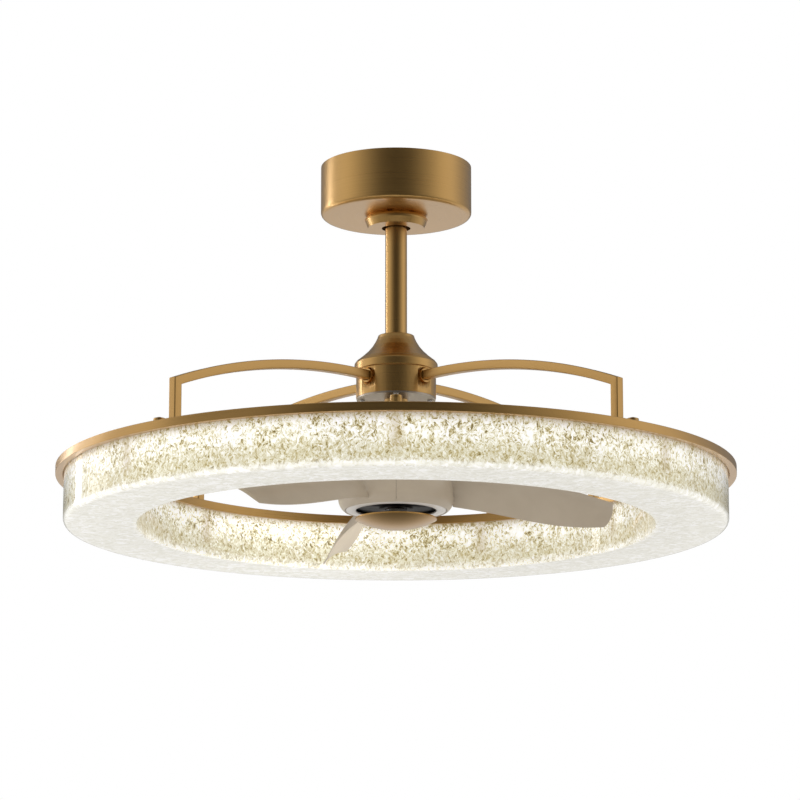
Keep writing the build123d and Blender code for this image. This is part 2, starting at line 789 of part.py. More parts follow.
# Nuts on the arm studs, inside the hub
with BuildPart() as arm_nuts:
    for arm_angle in arm_angles:
        with BuildSketch(outward(arm_angle, socket_boss_start, arm_axis_depth)):
            RegularPolygon(nut_radius, 6)
            Circle(stud_radius + thread_gap, mode=Mode.SUBTRACT)
        extrude(amount=-nut_height)
arm_nuts.part.label = "arm_nuts"
export_step(arm_nuts.part, "parts/arm_nuts.step")

# Foot screws, from below through the ring plate into the posts
with BuildPart() as foot_screws:
    with BuildSketch(Plane.XY.offset(-ring_roof_depth)):
        with PolarLocations(arm_post_offset, arm_count, start_angle=arm_angles[0]):
            Circle(foot_screw_radius)
    extrude(amount=foot_screw_length)
    with BuildSketch(Plane.XY.offset(-ring_roof_depth)):
        with PolarLocations(arm_post_offset, arm_count, start_angle=arm_angles[0]):
            Circle(foot_screw_head_radius)
    extrude(amount=-foot_screw_head_height)
foot_screws.part.label = "foot_screws"
export_step(foot_screws.part, "parts/foot_screws.step")

# Ring plate: a wide ring with a lip at each edge, open below
ring_outer_step = ring_radius - ring_outer_lip
ring_inner_step = ring_hole_radius + ring_inner_lip
with BuildPart() as ring_plate:
    with BuildSketch(Plane.XZ):
        with BuildLine():
            Polyline(
                (ring_hole_radius, -ring_top_depth),
                (ring_radius, -ring_top_depth),
                (ring_radius, -ring_top_depth - ring_height),
                (ring_outer_step, -ring_top_depth - ring_height),
                (ring_outer_step, -ring_roof_depth),
                (ring_inner_step, -ring_roof_depth),
                (ring_inner_step, -ring_top_depth - ring_height),
                (ring_hole_radius, -ring_top_depth - ring_height),
                close=True,
            )
        make_face()
    revolve(axis=Axis.Z)
    with BuildSketch(Plane.XY.offset(-ring_top_depth)):
        for bolt_angle in bolt_angles:
            with PolarLocations(bolt_circle, 1, start_angle=bolt_angle):
                Circle(bolt_radius + fit_gap)
        with PolarLocations(arm_post_offset, arm_count, start_angle=arm_angles[0]):
            Circle(foot_screw_radius + fit_gap)
    extrude(amount=-ring_roof, mode=Mode.SUBTRACT)
ring_plate.part.label = "ring_plate"
export_step(ring_plate.part, "parts/ring_plate.step")

# Acrylic ring: a U-channel with a rounded outer edge and blind bosses for the ring bolts
boss_top_depth = lens_floor_depth - lens_boss_height
bolt_end_depth = boss_top_depth + lens_thread_depth
with BuildPart() as acrylic_ring:
    with BuildSketch(Plane.XZ) as lens_profile:
        with BuildLine():
            Polyline(
                (lens_radius, -ring_roof_depth),
                (lens_radius, -lens_bottom_depth),
                (lens_hole_radius, -lens_bottom_depth),
                (lens_hole_radius, -ring_roof_depth),
                (lens_hole_radius + lens_wall, -ring_roof_depth),
                (lens_hole_radius + lens_wall, -lens_floor_depth),
                (lens_radius - lens_wall, -lens_floor_depth),
                (lens_radius - lens_wall, -ring_roof_depth),
                close=True,
            )
        make_face()
        lens_outer_corner = lens_profile.vertices().sort_by_distance((lens_radius, -lens_bottom_depth))[0]
        fillet(lens_outer_corner, radius=lens_edge_radius)
        lens_floor_corner = lens_profile.vertices().sort_by_distance(
            (lens_radius - lens_wall, -lens_floor_depth)
        )[0]
        fillet(lens_floor_corner, radius=lens_edge_radius - lens_wall)
        lens_hole_corner = lens_profile.vertices().sort_by_distance((lens_hole_radius, -lens_bottom_depth))[0]
        fillet(lens_hole_corner, radius=lens_inner_edge_radius)
    revolve(axis=Axis.Z)
    with BuildSketch(Plane.XY.offset(-lens_floor_depth)):
        for bolt_angle in bolt_angles:
            with PolarLocations(bolt_circle, 1, start_angle=bolt_angle):
                Circle(lens_boss_radius)
    extrude(amount=lens_boss_height)
    with BuildSketch(Plane.XY.offset(-boss_top_depth)):
        for bolt_angle in bolt_angles:
            with PolarLocations(bolt_circle, 1, start_angle=bolt_angle):
                Circle(bolt_radius + thread_gap)
    extrude(amount=-lens_thread_depth, mode=Mode.SUBTRACT)
acrylic_ring.part.label = "acrylic_ring"
export_step(acrylic_ring.part, "parts/acrylic_ring.step")

# Ice liner: a thin channel inside the acrylic, pierced where the bosses stand
liner_outer = lens_radius - lens_wall - liner_gap
liner_inner = lens_hole_radius + lens_wall + liner_gap
liner_top_depth = ring_roof_depth + liner_top_gap
liner_corner = lens_edge_radius - lens_wall
with BuildPart() as ice_liner:
    with BuildSketch(Plane.XZ):
        with BuildLine():
            Polyline(
                (liner_outer, -liner_top_depth),
                (liner_outer, -lens_floor_depth + liner_corner),
                (liner_outer - liner_corner, -lens_floor_depth),
                (liner_inner, -lens_floor_depth),
                (liner_inner, -liner_top_depth),
                (liner_inner + liner_wall, -liner_top_depth),
                (liner_inner + liner_wall, -lens_floor_depth + liner_wall),
                (liner_outer - liner_corner - liner_wall / 2, -lens_floor_depth + liner_wall),
                (liner_outer - liner_wall, -lens_floor_depth + liner_corner + liner_wall / 2),
                (liner_outer - liner_wall, -liner_top_depth),
                close=True,
            )
        make_face()
    revolve(axis=Axis.Z)
    with BuildSketch(Plane.XY.offset(-lens_floor_depth)):
        for bolt_angle in bolt_angles:
            with PolarLocations(bolt_circle, 1, start_angle=bolt_angle):
                Circle(lens_boss_radius + liner_gap)
    extrude(amount=liner_wall, mode=Mode.SUBTRACT)
ice_liner.part.label = "ice_liner"
export_step(ice_liner.part, "parts/ice_liner.step")

# LED board under the ring plate, cleared round bolts and foot screws
with BuildPart() as led_board:
    with BuildSketch(Plane.XY.offset(-ring_roof_depth)):
        Circle(board_outer_radius)
        Circle(board_inner_radius, mode=Mode.SUBTRACT)
        for bolt_angle in bolt_angles:
            with PolarLocations(bolt_circle, 1, start_angle=bolt_angle):
                Circle(bolt_radius + fit_gap, mode=Mode.SUBTRACT)
        with PolarLocations(arm_post_offset, arm_count, start_angle=arm_angles[0]):
            Circle(foot_screw_head_radius + fit_gap, mode=Mode.SUBTRACT)
    extrude(amount=-board_thickness)
led_board.part.label = "led_board"
export_step(led_board.part, "parts/led_board.step")

# LED chips in two rows
with BuildPart() as led_chips:
    with BuildSketch(Plane.XY.offset(-ring_roof_depth - board_thickness)):
        for chip_circle in chip_circles:
            with PolarLocations(chip_circle, chip_count):
                Rectangle(chip_size, chip_size)
    extrude(amount=-chip_height)
led_chips.part.label = "led_chips"
export_step(led_chips.part, "parts/led_chips.step")

# Ring bolts hang the acrylic from the knobs
bolt_top_depth = ring_top_depth - knob_height - bolt_tip
with BuildPart() as ring_bolts:
    with BuildSketch(Plane.XY.offset(-bolt_top_depth)):
        for bolt_angle in bolt_angles:
            with PolarLocations(bolt_circle, 1, start_angle=bolt_angle):
                Circle(bolt_radius)
    extrude(amount=bolt_top_depth - bolt_end_depth)
ring_bolts.part.label = "ring_bolts"
export_step(ring_bolts.part, "parts/ring_bolts.step")

# Ring knobs stand on the ring plate
with BuildPart() as ring_knobs:
    with BuildSketch(Plane.XY.offset(-ring_top_depth)):
        for bolt_angle in bolt_angles:
            with PolarLocations(bolt_circle, 1, start_angle=bolt_angle):
                Circle(knob_radius)
                Circle(bolt_radius + thread_gap, mode=Mode.SUBTRACT)
    extrude(amount=knob_height)
    knob_top_edges = ring_knobs.edges().group_by(Axis.Z)[-1].filter_by(
        lambda edge: edge.radius > bolt_radius + knob_edge
    )
    fillet(knob_top_edges, radius=knob_edge)
ring_knobs.part.label = "ring_knobs"
export_step(ring_knobs.part, "parts/ring_knobs.step")

# Lower stem: a tube with a welded flange under the hub roof
with BuildPart() as lower_stem:
    with BuildSketch(Plane.XY.offset(-stem_top_depth)):
        Circle(stem_flange_radius)
        with PolarLocations(flange_screw_circle, flange_screw_count):
            Circle(flange_screw_radius + thread_gap, mode=Mode.SUBTRACT)
    extrude(amount=-stem_flange)
    with BuildSketch(Plane.XY.offset(-stem_top_depth)):
        Circle(stem_radius)
    extrude(amount=stem_top_depth - stem_bottom_depth)
    with BuildSketch(Plane.XY.offset(-stem_top_depth)):
        Circle(stem_radius - stem_wall)
    extrude(amount=stem_top_depth - stem_bottom_depth, mode=Mode.SUBTRACT)
    with BuildSketch(Plane.YZ):
        with Locations((0, motor_pin_rise - stem_bottom_depth)):
            Circle(motor_pin_radius + running_gap)
    extrude(amount=stem_radius + overrun, both=True, mode=Mode.SUBTRACT)
lower_stem.part.label = "lower_stem"
export_step(lower_stem.part, "parts/lower_stem.step")

# Motor flange: a sleeve on the stem's end
with BuildPart() as motor_flange:
    with BuildSketch(Plane.XY.offset(-stem_bottom_depth)):
        Circle(motor_sleeve_radius)
        Circle(stem_radius + thread_gap, mode=Mode.SUBTRACT)
    extrude(amount=motor_sleeve_height)
    with BuildSketch(Plane.XY.offset(-stem_bottom_depth)):
        Circle(motor_flange_radius)
        Circle(motor_wire_radius, mode=Mode.SUBTRACT)
        with PolarLocations(motor_screw_circle, motor_screw_count, start_angle=45):
            Circle(motor_screw_radius + fit_gap, mode=Mode.SUBTRACT)
    extrude(amount=-motor_flange_thickness)
    with BuildSketch(Plane.YZ):
        with Locations((0, motor_pin_rise - stem_bottom_depth)):
            Circle(motor_pin_radius + running_gap)
    extrude(amount=motor_sleeve_radius + overrun, both=True, mode=Mode.SUBTRACT)
motor_flange.part.label = "motor_flange"
export_step(motor_flange.part, "parts/motor_flange.step")

# Pin through sleeve and stem
with BuildPart() as motor_pin:
    with BuildSketch(Plane.YZ):
        with Locations((0, motor_pin_rise - stem_bottom_depth)):
            Circle(motor_pin_radius)
    extrude(amount=motor_pin_half_length, both=True)
motor_pin.part.label = "motor_pin"
export_step(motor_pin.part, "parts/motor_pin.step")

# Screws between motor flange and shaft flange
with BuildPart() as motor_screws:
    with BuildSketch(Plane.XY.offset(-stem_bottom_depth)):
        with PolarLocations(motor_screw_circle, motor_screw_count, start_angle=45):
            Circle(motor_screw_radius)
    extrude(amount=-motor_flange_thickness - shaft_flange)
    with BuildSketch(Plane.XY.offset(-stem_bottom_depth)):
        with PolarLocations(motor_screw_circle, motor_screw_count, start_angle=45):
            Circle(motor_screw_head_radius)
    extrude(amount=motor_screw_head_height)
motor_screws.part.label = "motor_screws"
export_step(motor_screws.part, "parts/motor_screws.step")

# Stator shaft: it stands still, and the rotor turns round it
with BuildPart() as stator_shaft:
    with BuildSketch(Plane.XY.offset(-shaft_flange_depth)):
        Circle(motor_flange_radius)
        with PolarLocations(motor_screw_circle, motor_screw_count, start_angle=45):
            Circle(motor_screw_radius + thread_gap, mode=Mode.SUBTRACT)
    extrude(amount=-shaft_flange)
    with BuildSketch(Plane.XY.offset(-shaft_top_depth)):
        Circle(shaft_radius)
    extrude(amount=shaft_top_depth - shaft_bottom_depth)
    with BuildSketch(Plane.XY.offset(-shaft_flange_depth)):
        Circle(shaft_bore_radius)
    extrude(amount=-shaft_bore_depth, mode=Mode.SUBTRACT)
stator_shaft.part.label = "stator_shaft"
export_step(stator_shaft.part, "parts/stator_shaft.step")

# Stator core: twelve teeth with shoes round a hub
tooth_middle = (stator_hub_radius + stator_radius - tooth_shoe) / 2
with BuildPart() as stator_core:
    with BuildSketch(Plane.XY.offset(-stator_top_depth)):
        Circle(stator_radius)
        Circle(stator_radius - tooth_shoe, mode=Mode.SUBTRACT)
        with PolarLocations(stator_radius, stator_teeth, start_angle=180 / stator_teeth):
            Rectangle(4 * tooth_shoe, slot_opening, mode=Mode.SUBTRACT)
        Circle(stator_hub_radius)
        with PolarLocations(tooth_middle, stator_teeth):
            Rectangle(stator_radius - tooth_shoe / 2 - stator_hub_radius, tooth_width)
        Circle(shaft_radius + running_gap, mode=Mode.SUBTRACT)
    extrude(amount=-stator_stack)
stator_core.part.label = "stator_core"
export_step(stator_core.part, "parts/stator_core.step")

# Coils: a wound ring round each tooth
coil_hole_width = tooth_width + 2 * fit_gap
coil_hole_height = stator_stack + 2 * fit_gap
with BuildPart() as stator_coils:
    for tooth in range(stator_teeth):
        coil_plane = outward(360 / stator_teeth * tooth, coil_start, stator_top_depth + stator_stack / 2)
        with BuildSketch(coil_plane):
            RectangleRounded(coil_hole_width + 2 * coil_build, coil_hole_height + 2 * coil_build, coil_edge)
            Rectangle(coil_hole_width, coil_hole_height, mode=Mode.SUBTRACT)
        extrude(amount=coil_length)
stator_coils.part.label = "stator_coils"
export_step(stator_coils.part, "parts/stator_coils.step")

# Rotor shell: a cup with the seat of the upper bearing
seat_outer_radius = bearing_radius + thread_gap + bearing_seat_wall
with BuildPart() as rotor_shell:
    with BuildSketch(Plane.XY.offset(-rotor_top_depth)):
        Circle(rotor_shell_radius)
        Circle(bearing_lip_radius, mode=Mode.SUBTRACT)
    extrude(amount=-rotor_shell_roof)
    with BuildSketch(Plane.XY.offset(-upper_bearing_depth)):
        Circle(rotor_shell_radius)
        Circle(rotor_shell_radius - rotor_shell_wall, mode=Mode.SUBTRACT)
    extrude(amount=upper_bearing_depth - rotor_floor_depth)
    with BuildSketch(Plane.XY.offset(-upper_bearing_depth)):
        Circle(seat_outer_radius)
        Circle(bearing_radius + thread_gap, mode=Mode.SUBTRACT)
    extrude(amount=-bearing_height)
    with BuildSketch(Plane.XY.offset(-rotor_floor_depth)):
        with PolarLocations(rotor_screw_circle, rotor_screw_count):
            Circle(rotor_screw_radius + thread_gap)
    extrude(amount=rotor_screw_length, mode=Mode.SUBTRACT)
rotor_shell.part.label = "rotor_shell"
export_step(rotor_shell.part, "parts/rotor_shell.step")

# Rotor base: a plate with the seat of the lower bearing, which also carries the drum sectors
blade_screw_angles = []
for seam_angle in seam_angles:
    sector_middle = seam_angle + 180 / blade_count
    blade_screw_angles.append(sector_middle - blade_screw_turn)
    blade_screw_angles.append(sector_middle + blade_screw_turn)
with BuildPart() as rotor_base:
    with BuildSketch(Plane.XY.offset(-rotor_floor_depth)):
        Circle(rotor_base_radius)
        with PolarLocations(rotor_screw_circle, rotor_screw_count):
            Circle(rotor_screw_radius + fit_gap, mode=Mode.SUBTRACT)
        for screw_angle in blade_screw_angles:
            with PolarLocations(blade_screw_circle, 1, start_angle=screw_angle):
                Circle(blade_screw_radius + fit_gap, mode=Mode.SUBTRACT)
    extrude(amount=-rotor_base_thickness)
    with BuildSketch(Plane.XY.offset(-lower_bearing_depth)):
        Circle(seat_outer_radius)
    extrude(amount=lower_bearing_depth - bearing_floor_depth - bearing_lip)
    with BuildSketch(Plane.XY.offset(-lower_bearing_depth)):
        Circle(bearing_radius + thread_gap)
    extrude(amount=-bearing_height, mode=Mode.SUBTRACT)
    with BuildSketch(Plane.XY.offset(-bearing_floor_depth)):
        Circle(bearing_lip_radius)
    extrude(amount=-bearing_lip, mode=Mode.SUBTRACT)
rotor_base.part.label = "rotor_base"
export_step(rotor_base.part, "parts/rotor_base.step")

# Magnet ring on the inside of the rotor shell
magnet_outer = rotor_shell_radius - rotor_shell_wall - thread_gap
with BuildPart() as magnet_ring:
    with BuildSketch(Plane.XY.offset(-rotor_top_depth - magnet_offset)):
        Circle(magnet_outer)
        Circle(magnet_outer - magnet_thickness, mode=Mode.SUBTRACT)
    extrude(amount=-magnet_height)
magnet_ring.part.label = "magnet_ring"
export_step(magnet_ring.part, "parts/magnet_ring.step")

# Sealed bearings that run on the shaft
bearing_places = (("upper_bearing", upper_bearing_depth), ("lower_bearing", lower_bearing_depth))
for bearing_name, bearing_depth in bearing_places:
    with BuildPart() as bearing:
        with BuildSketch(Plane.XY.offset(-bearing_depth)):
            Circle(bearing_radius)
            Circle(shaft_radius + running_gap, mode=Mode.SUBTRACT)
        extrude(amount=-bearing_height)
    bearing.part.label = bearing_name
    export_step(bearing.part, f"parts/{bearing_name}.step")

# Rotor screws between base and shell
with BuildPart() as rotor_screws:
    with BuildSketch(Plane.XY.offset(-rotor_base_bottom_depth)):
        with PolarLocations(rotor_screw_circle, rotor_screw_count):
            Circle(rotor_screw_radius)
    extrude(amount=rotor_screw_length)
    with BuildSketch(Plane.XY.offset(-rotor_base_bottom_depth)):
        with PolarLocations(rotor_screw_circle, rotor_screw_count):
            Circle(rotor_screw_head_radius)
    extrude(amount=-rotor_screw_head_height)
rotor_screws.part.label = "rotor_screws"
export_step(rotor_screws.part, "parts/rotor_screws.step")

# Shaft nut under the lower bearing
nut_top_depth = bearing_floor_depth + fit_gap
with BuildPart() as shaft_nut:
    with BuildSketch(Plane.XY.offset(-nut_top_depth)):
        Circle(nut_flange_radius)
        Circle(shaft_radius + thread_gap, mode=Mode.SUBTRACT)
    extrude(amount=-nut_flange)
    with BuildSketch(Plane.XY.offset(-nut_top_depth - nut_flange)):
        RegularPolygon(shaft_nut_radius, 6)
        Circle(shaft_radius + thread_gap, mode=Mode.SUBTRACT)
    extrude(amount=-shaft_nut_height)
shaft_nut.part.label = "shaft_nut"
export_step(shaft_nut.part, "parts/shaft_nut.step")


def blade_section(shares):
    # Outline of the blade at one station: a curved plate from its low edge to its high edge.
    _, offset_share, droop_share, width_share, rise_share = shares
    low = Vector(offset_share * blade_chord, -blade_root_depth - droop_share * blade_droop)
    high = low + Vector(-width_share * blade_chord, rise_share * blade_chord)
    along = (high - low).normalized()
    outside = Vector(along.Y, -along.X)
    middle = (low + high) * 0.5 + outside * blade_camber
    edge = outside * (blade_edge_thickness / 2)
    skin = outside * (blade_thickness / 2)
    nose = along * (blade_edge_thickness / 2)
    return (
        ((low + edge), (middle + skin), (high + edge)),
        ((high + edge), (high + nose), (high - edge)),
        ((high - edge), (middle - skin), (low - edge)),
        ((low - edge), (low - nose), (low + edge)),
    )


# Blades: each carries a third of the moulded drum and a twisted, cambered plate
sector_turn = 360 / blade_count
seam_turn = degrees(seam_gap / drum_radius)
wall_turn = degrees(drum_wall / drum_radius)
for blade_number, seam_angle in enumerate(seam_angles, start=1):
    blade_name = f"blade_{blade_number}"
    blade_angle = seam_angle + sector_turn / 2 + blade_turn
    with BuildPart() as blade:
        for shares in blade_station_shares:
            with BuildSketch(outward(blade_angle, blade_root + shares[0] * blade_span, 0)):
                with BuildLine():
                    for start, between, end in blade_section(shares):
                        ThreePointArc(start, between, end)
                make_face()
        loft()
        # The plan outline rounds off the low corner of the tip and slants the tip edge.
        tip_low = blade_station_shares[-1][1] * blade_chord + blade_edge_thickness / 2
        with BuildSketch(
            Plane(origin=(0, 0, -drum_top_depth), x_dir=upright(blade_angle).x_dir, z_dir=(0, 0, 1))
        ) as tip_outline:
            with BuildLine():
                Polyline(
                    (0, -blade_chord),
                    (blade_tip, -blade_chord),
                    (blade_tip - blade_tip_setback / 2, 0),
                    (blade_tip - blade_tip_setback - blade_thickness, tip_low),
                    (0, 2 * blade_chord),
                    close=True,
                )
            make_face()
            tip_corner = tip_outline.vertices().sort_by_distance(
                (blade_tip - blade_tip_setback - blade_thickness, tip_low)
            )[0]
            fillet(tip_corner, radius=blade_tip_radius)
        extrude(amount=-2 * blade_droop - 2 * blade_chord, mode=Mode.INTERSECT)
        with BuildSketch(Plane.XY.offset(-drum_top_depth + overrun)):
            Circle(drum_radius - drum_wall / 2)
        extrude(amount=-2 * blade_chord - 2 * blade_droop, mode=Mode.SUBTRACT)
        # The drum sector, open at the top like a moulded tray.
        with BuildSketch(upright(seam_angle + seam_turn)):
            with BuildLine():
                Polyline(
                    (drum_groove_radius, -drum_bottom_depth),
                    (drum_groove_radius, -rotor_floor_depth),
                    (rotor_shell_radius + fit_gap, -rotor_floor_depth),
                    (rotor_shell_radius + fit_gap, -drum_top_depth),
                    (drum_radius - drum_top_edge, -drum_top_depth),
                    (drum_radius, -drum_top_depth - drum_top_edge),
                    (drum_radius, -drum_top_depth - drum_straight),
                )
                TangentArc(
                    (drum_radius, -drum_top_depth - drum_straight),
                    (drum_rim_radius, -drum_bottom_depth),
                    tangent=(0, -1),
                )
                Line((drum_rim_radius, -drum_bottom_depth), (drum_groove_radius, -drum_bottom_depth))
            make_face()
        revolve(axis=Axis.Z, revolution_arc=sector_turn - seam_turn)
        with BuildSketch(upright(seam_angle + seam_turn + wall_turn)):
            with BuildLine():
                Polyline(
                    (rotor_shell_radius + fit_gap + drum_wall, overrun - drum_top_depth),
                    (rotor_shell_radius + fit_gap + drum_wall, drum_floor - rotor_floor_depth),
                    (drum_radius - drum_wall, drum_floor - rotor_floor_depth),
                    (drum_radius - drum_wall, overrun - drum_top_depth),
                    close=True,
                )
            make_face()
        revolve(axis=Axis.Z, revolution_arc=sector_turn - seam_turn - 2 * wall_turn, mode=Mode.SUBTRACT)
        for side in (-1, 1):
            screw_angle = seam_angle + sector_turn / 2 + side * blade_screw_turn
            with BuildSketch(Plane.XY.offset(-rotor_floor_depth)):
                with PolarLocations(blade_screw_circle, 1, start_angle=screw_angle):
                    Circle(blade_screw_post_radius)
            extrude(amount=blade_screw_length + drum_floor)
            with BuildSketch(Plane.XY.offset(-rotor_floor_depth)):
                with PolarLocations(blade_screw_circle, 1, start_angle=screw_angle):
                    Circle(blade_screw_radius + thread_gap)
            extrude(amount=blade_screw_length, mode=Mode.SUBTRACT)
    blade.part.label = blade_name
    export_step(blade.part, f"parts/{blade_name}.step")

# Blade screws, from below through the rotor base
with BuildPart() as blade_screws:
    with BuildSketch(Plane.XY.offset(-rotor_base_bottom_depth)):
        for screw_angle in blade_screw_angles:
            with PolarLocations(blade_screw_circle, 1, start_angle=screw_angle):
                Circle(blade_screw_radius)
    extrude(amount=blade_screw_length)
    with BuildSketch(Plane.XY.offset(-rotor_base_bottom_depth)):
        for screw_angle in blade_screw_angles:
            with PolarLocations(blade_screw_circle, 1, start_angle=screw_angle):
                Circle(blade_screw_head_radius)
    extrude(amount=-rotor_screw_head_height)
blade_screws.part.label = "blade_screws"
export_step(blade_screws.part, "parts/blade_screws.step")

# Blade ring: the pale ring that hides the screws under the drum
with BuildPart() as blade_ring:
    with BuildSketch(Plane.XY.offset(-blade_ring_top_depth)):
        Circle(blade_ring_radius)
        Circle(blade_ring_hole, mode=Mode.SUBTRACT)
    extrude(amount=-blade_ring_plate)
    with BuildSketch(Plane.XY.offset(-rotor_base_bottom_depth)):
        Circle(blade_ring_radius)
        Circle(blade_ring_radius - blade_ring_lip, mode=Mode.SUBTRACT)
    extrude(amount=-rotor_screw_head_height)
blade_ring.part.label = "blade_ring"
export_step(blade_ring.part, "parts/blade_ring.step")

# End cap: a shallow dome screwed onto the shaft's end
cap_edge_depth = cap_rim_depth + cap_rim_height
with BuildPart() as end_cap:
    with BuildSketch(Plane.XZ):
        with BuildLine():
            TangentArc((0, -cap_bottom_depth), (cap_radius, -cap_edge_depth), tangent=(1, 0))
            Polyline(
                (cap_radius, -cap_edge_depth),
                (cap_radius, -cap_rim_depth),
                (cap_radius - cap_wall, -cap_rim_depth),
                (cap_radius - cap_wall, cap_wall / 2 - cap_edge_depth),
            )
            TangentArc(
                (0, cap_wall - cap_bottom_depth),
                (cap_radius - cap_wall, cap_wall / 2 - cap_edge_depth),
                tangent=(1, 0),
            )
            Line((0, -cap_bottom_depth), (0, cap_wall - cap_bottom_depth))
        make_face()
    revolve(axis=Axis.Z)
    with BuildSketch(Plane.XY.offset(cap_boss_rise - cap_rim_depth)):
        Circle(cap_boss_radius)
    extrude(amount=cap_rim_depth - cap_boss_rise - cap_bottom_depth + cap_wall)
    with BuildSketch(Plane.XY.offset(cap_boss_rise - cap_rim_depth)):
        Circle(shaft_radius + thread_gap)
    extrude(amount=cap_rim_depth - cap_boss_rise - shaft_bottom_depth - thread_gap, mode=Mode.SUBTRACT)
end_cap.part.label = "end_cap"
export_step(end_cap.part, "parts/end_cap.step")
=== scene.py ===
import json
import math

import bmesh
import bpy
import numpy as np
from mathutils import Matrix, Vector


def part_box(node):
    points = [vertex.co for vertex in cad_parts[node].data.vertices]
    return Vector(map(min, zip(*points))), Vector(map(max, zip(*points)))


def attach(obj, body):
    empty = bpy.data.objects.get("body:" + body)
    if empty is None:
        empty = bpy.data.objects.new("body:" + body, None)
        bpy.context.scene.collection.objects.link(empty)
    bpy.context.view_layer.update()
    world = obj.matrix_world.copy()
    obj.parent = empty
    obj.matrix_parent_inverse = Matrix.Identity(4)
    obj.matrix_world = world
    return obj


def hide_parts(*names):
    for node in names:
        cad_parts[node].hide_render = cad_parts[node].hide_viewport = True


# Looks of the chandelier ceiling fan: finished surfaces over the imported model, lights and camera. Heights
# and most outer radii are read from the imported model. Wall thicknesses, roundings, the bell's profile and
# the arms' path are written here.
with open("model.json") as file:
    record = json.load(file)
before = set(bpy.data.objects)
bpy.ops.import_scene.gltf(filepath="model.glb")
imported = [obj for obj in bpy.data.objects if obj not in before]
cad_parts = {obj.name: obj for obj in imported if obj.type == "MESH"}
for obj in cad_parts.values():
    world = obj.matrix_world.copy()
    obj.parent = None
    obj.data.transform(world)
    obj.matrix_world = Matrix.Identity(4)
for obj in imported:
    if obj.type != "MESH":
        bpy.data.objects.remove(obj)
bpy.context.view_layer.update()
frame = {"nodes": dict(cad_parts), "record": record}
slots = {part["node"]: part["material_slot"] for part in frame["record"]["subparts"]}

mm = 0.001
sharp_angle = math.radians(28)
usual_turns = 288


# Shapes: profiles, surfaces of revolution and swept bars

def low_corner(node):
    """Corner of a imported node's box with the smallest x, y and z."""
    return np.array(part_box(node)[0])


def high_corner(node):
    """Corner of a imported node's box with the largest x, y and z."""
    return np.array(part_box(node)[1])


def rounded(corners, steps=7, spacing=5 * mm):
    """Closed outline through corners given as (radius, height, rounding): each rounding is an arc that
    touches both sides, and long straights are divided evenly so that shading stays even along them."""
    corners = np.array(corners, dtype=float)
    here = corners[:, :2]
    back = np.roll(here, 1, axis=0) - here
    ahead = np.roll(here, -1, axis=0) - here
    back /= np.linalg.norm(back, axis=1)[:, None]
    ahead /= np.linalg.norm(ahead, axis=1)[:, None]
    half = np.arccos(np.clip((back * ahead).sum(axis=1), -1, 1)) / 2
    points = []
    for corner, toward_back, toward_ahead, half_angle, radius in zip(here, back, ahead, half, corners[:, 2]):
        if radius == 0:
            points.append(corner[None])
            continue
        reach = radius / math.tan(half_angle)
        bisector = toward_back + toward_ahead
        centre = corner + bisector / np.linalg.norm(bisector) * radius / math.sin(half_angle)
        first = corner + toward_back * reach - centre
        last = corner + toward_ahead * reach - centre
        start = math.atan2(first[1], first[0])
        turn = (math.atan2(last[1], last[0]) - start + math.pi) % (2 * math.pi) - math.pi
        angles = start + turn * np.linspace(0, 1, steps)
        points.append(centre + radius * np.stack([np.cos(angles), np.sin(angles)], axis=1))
    return divided(np.concatenate(points), spacing)


def divided(outline, spacing):
    """The same closed outline with each side cut into equal lengths no longer than the spacing."""
    parts = []
    for start, end in zip(outline, np.roll(outline, -1, axis=0)):
        count = max(1, math.ceil(np.linalg.norm(end - start) / spacing))
        parts.append(start + (end - start) * (np.arange(count) / count)[:, None])
    return np.concatenate(parts)


def below(top, stations):
    """Corners for an outline from (radius, depth below the top, rounding), all in millimetres."""
    return [(radius * mm, top - depth * mm, rounding * mm) for radius, depth, rounding in stations]


def grid_faces(rows, columns, wrap_rows, wrap_columns):
    """Quads between neighbouring points of a grid, joined end to end where it wraps."""
    row, column = np.meshgrid(
        np.arange(rows if wrap_rows else rows - 1),
        np.arange(columns if wrap_columns else columns - 1),
        indexing="ij",
    )
    next_row = (row + 1) % rows
    beside = (column + 1) % columns
    quads = [
        row * columns + column,
        next_row * columns + column,
        next_row * columns + beside,
        row * columns + beside,
    ]
    return np.stack(quads, axis=-1).reshape(-1, 4)


def revolved(outline, turns=usual_turns, ripple=None):
    """Surface of revolution: outline point i turned about the fan's axis by angle j. The outline is closed;
    ripple, a function of the outline and the angle, adds to the radius. Also gives the brushing lines: a
    circle round the axis in the first two parts, the way along the outline in the third."""
    area = np.sum(outline[:, 0] * np.roll(outline[:, 1], -1) - np.roll(outline[:, 0], -1) * outline[:, 1])
    outline = outline[::-1] if area > 0 else outline
    angle = np.linspace(0, 2 * math.pi, turns, endpoint=False)
    radius = np.repeat(outline[:, :1], turns, axis=1)
    if ripple is not None:
        radius = radius + ripple(outline, angle)
    height = np.repeat(outline[:, 1:], turns, axis=1)
    points = np.stack([radius * np.cos(angle), radius * np.sin(angle), height], axis=-1)
    steps = np.linalg.norm(np.diff(outline, axis=0), axis=1)
    along = np.concatenate([[0], np.cumsum(steps)])[:, None] + 0 * radius
    mean = np.abs(outline[:, 0]).mean()
    grain = np.stack([mean * np.cos(angle) + 0 * radius, mean * np.sin(angle) + 0 * radius, along], axis=-1)
    return points.reshape(-1, 3), [grid_faces(len(outline), turns, True, True)], grain.reshape(-1, 3)


def moved(surface, centre):
    """The same surface with its axis at another place."""
    points, faces, grain = surface
    return points + np.array(centre), faces, grain + np.array(centre)


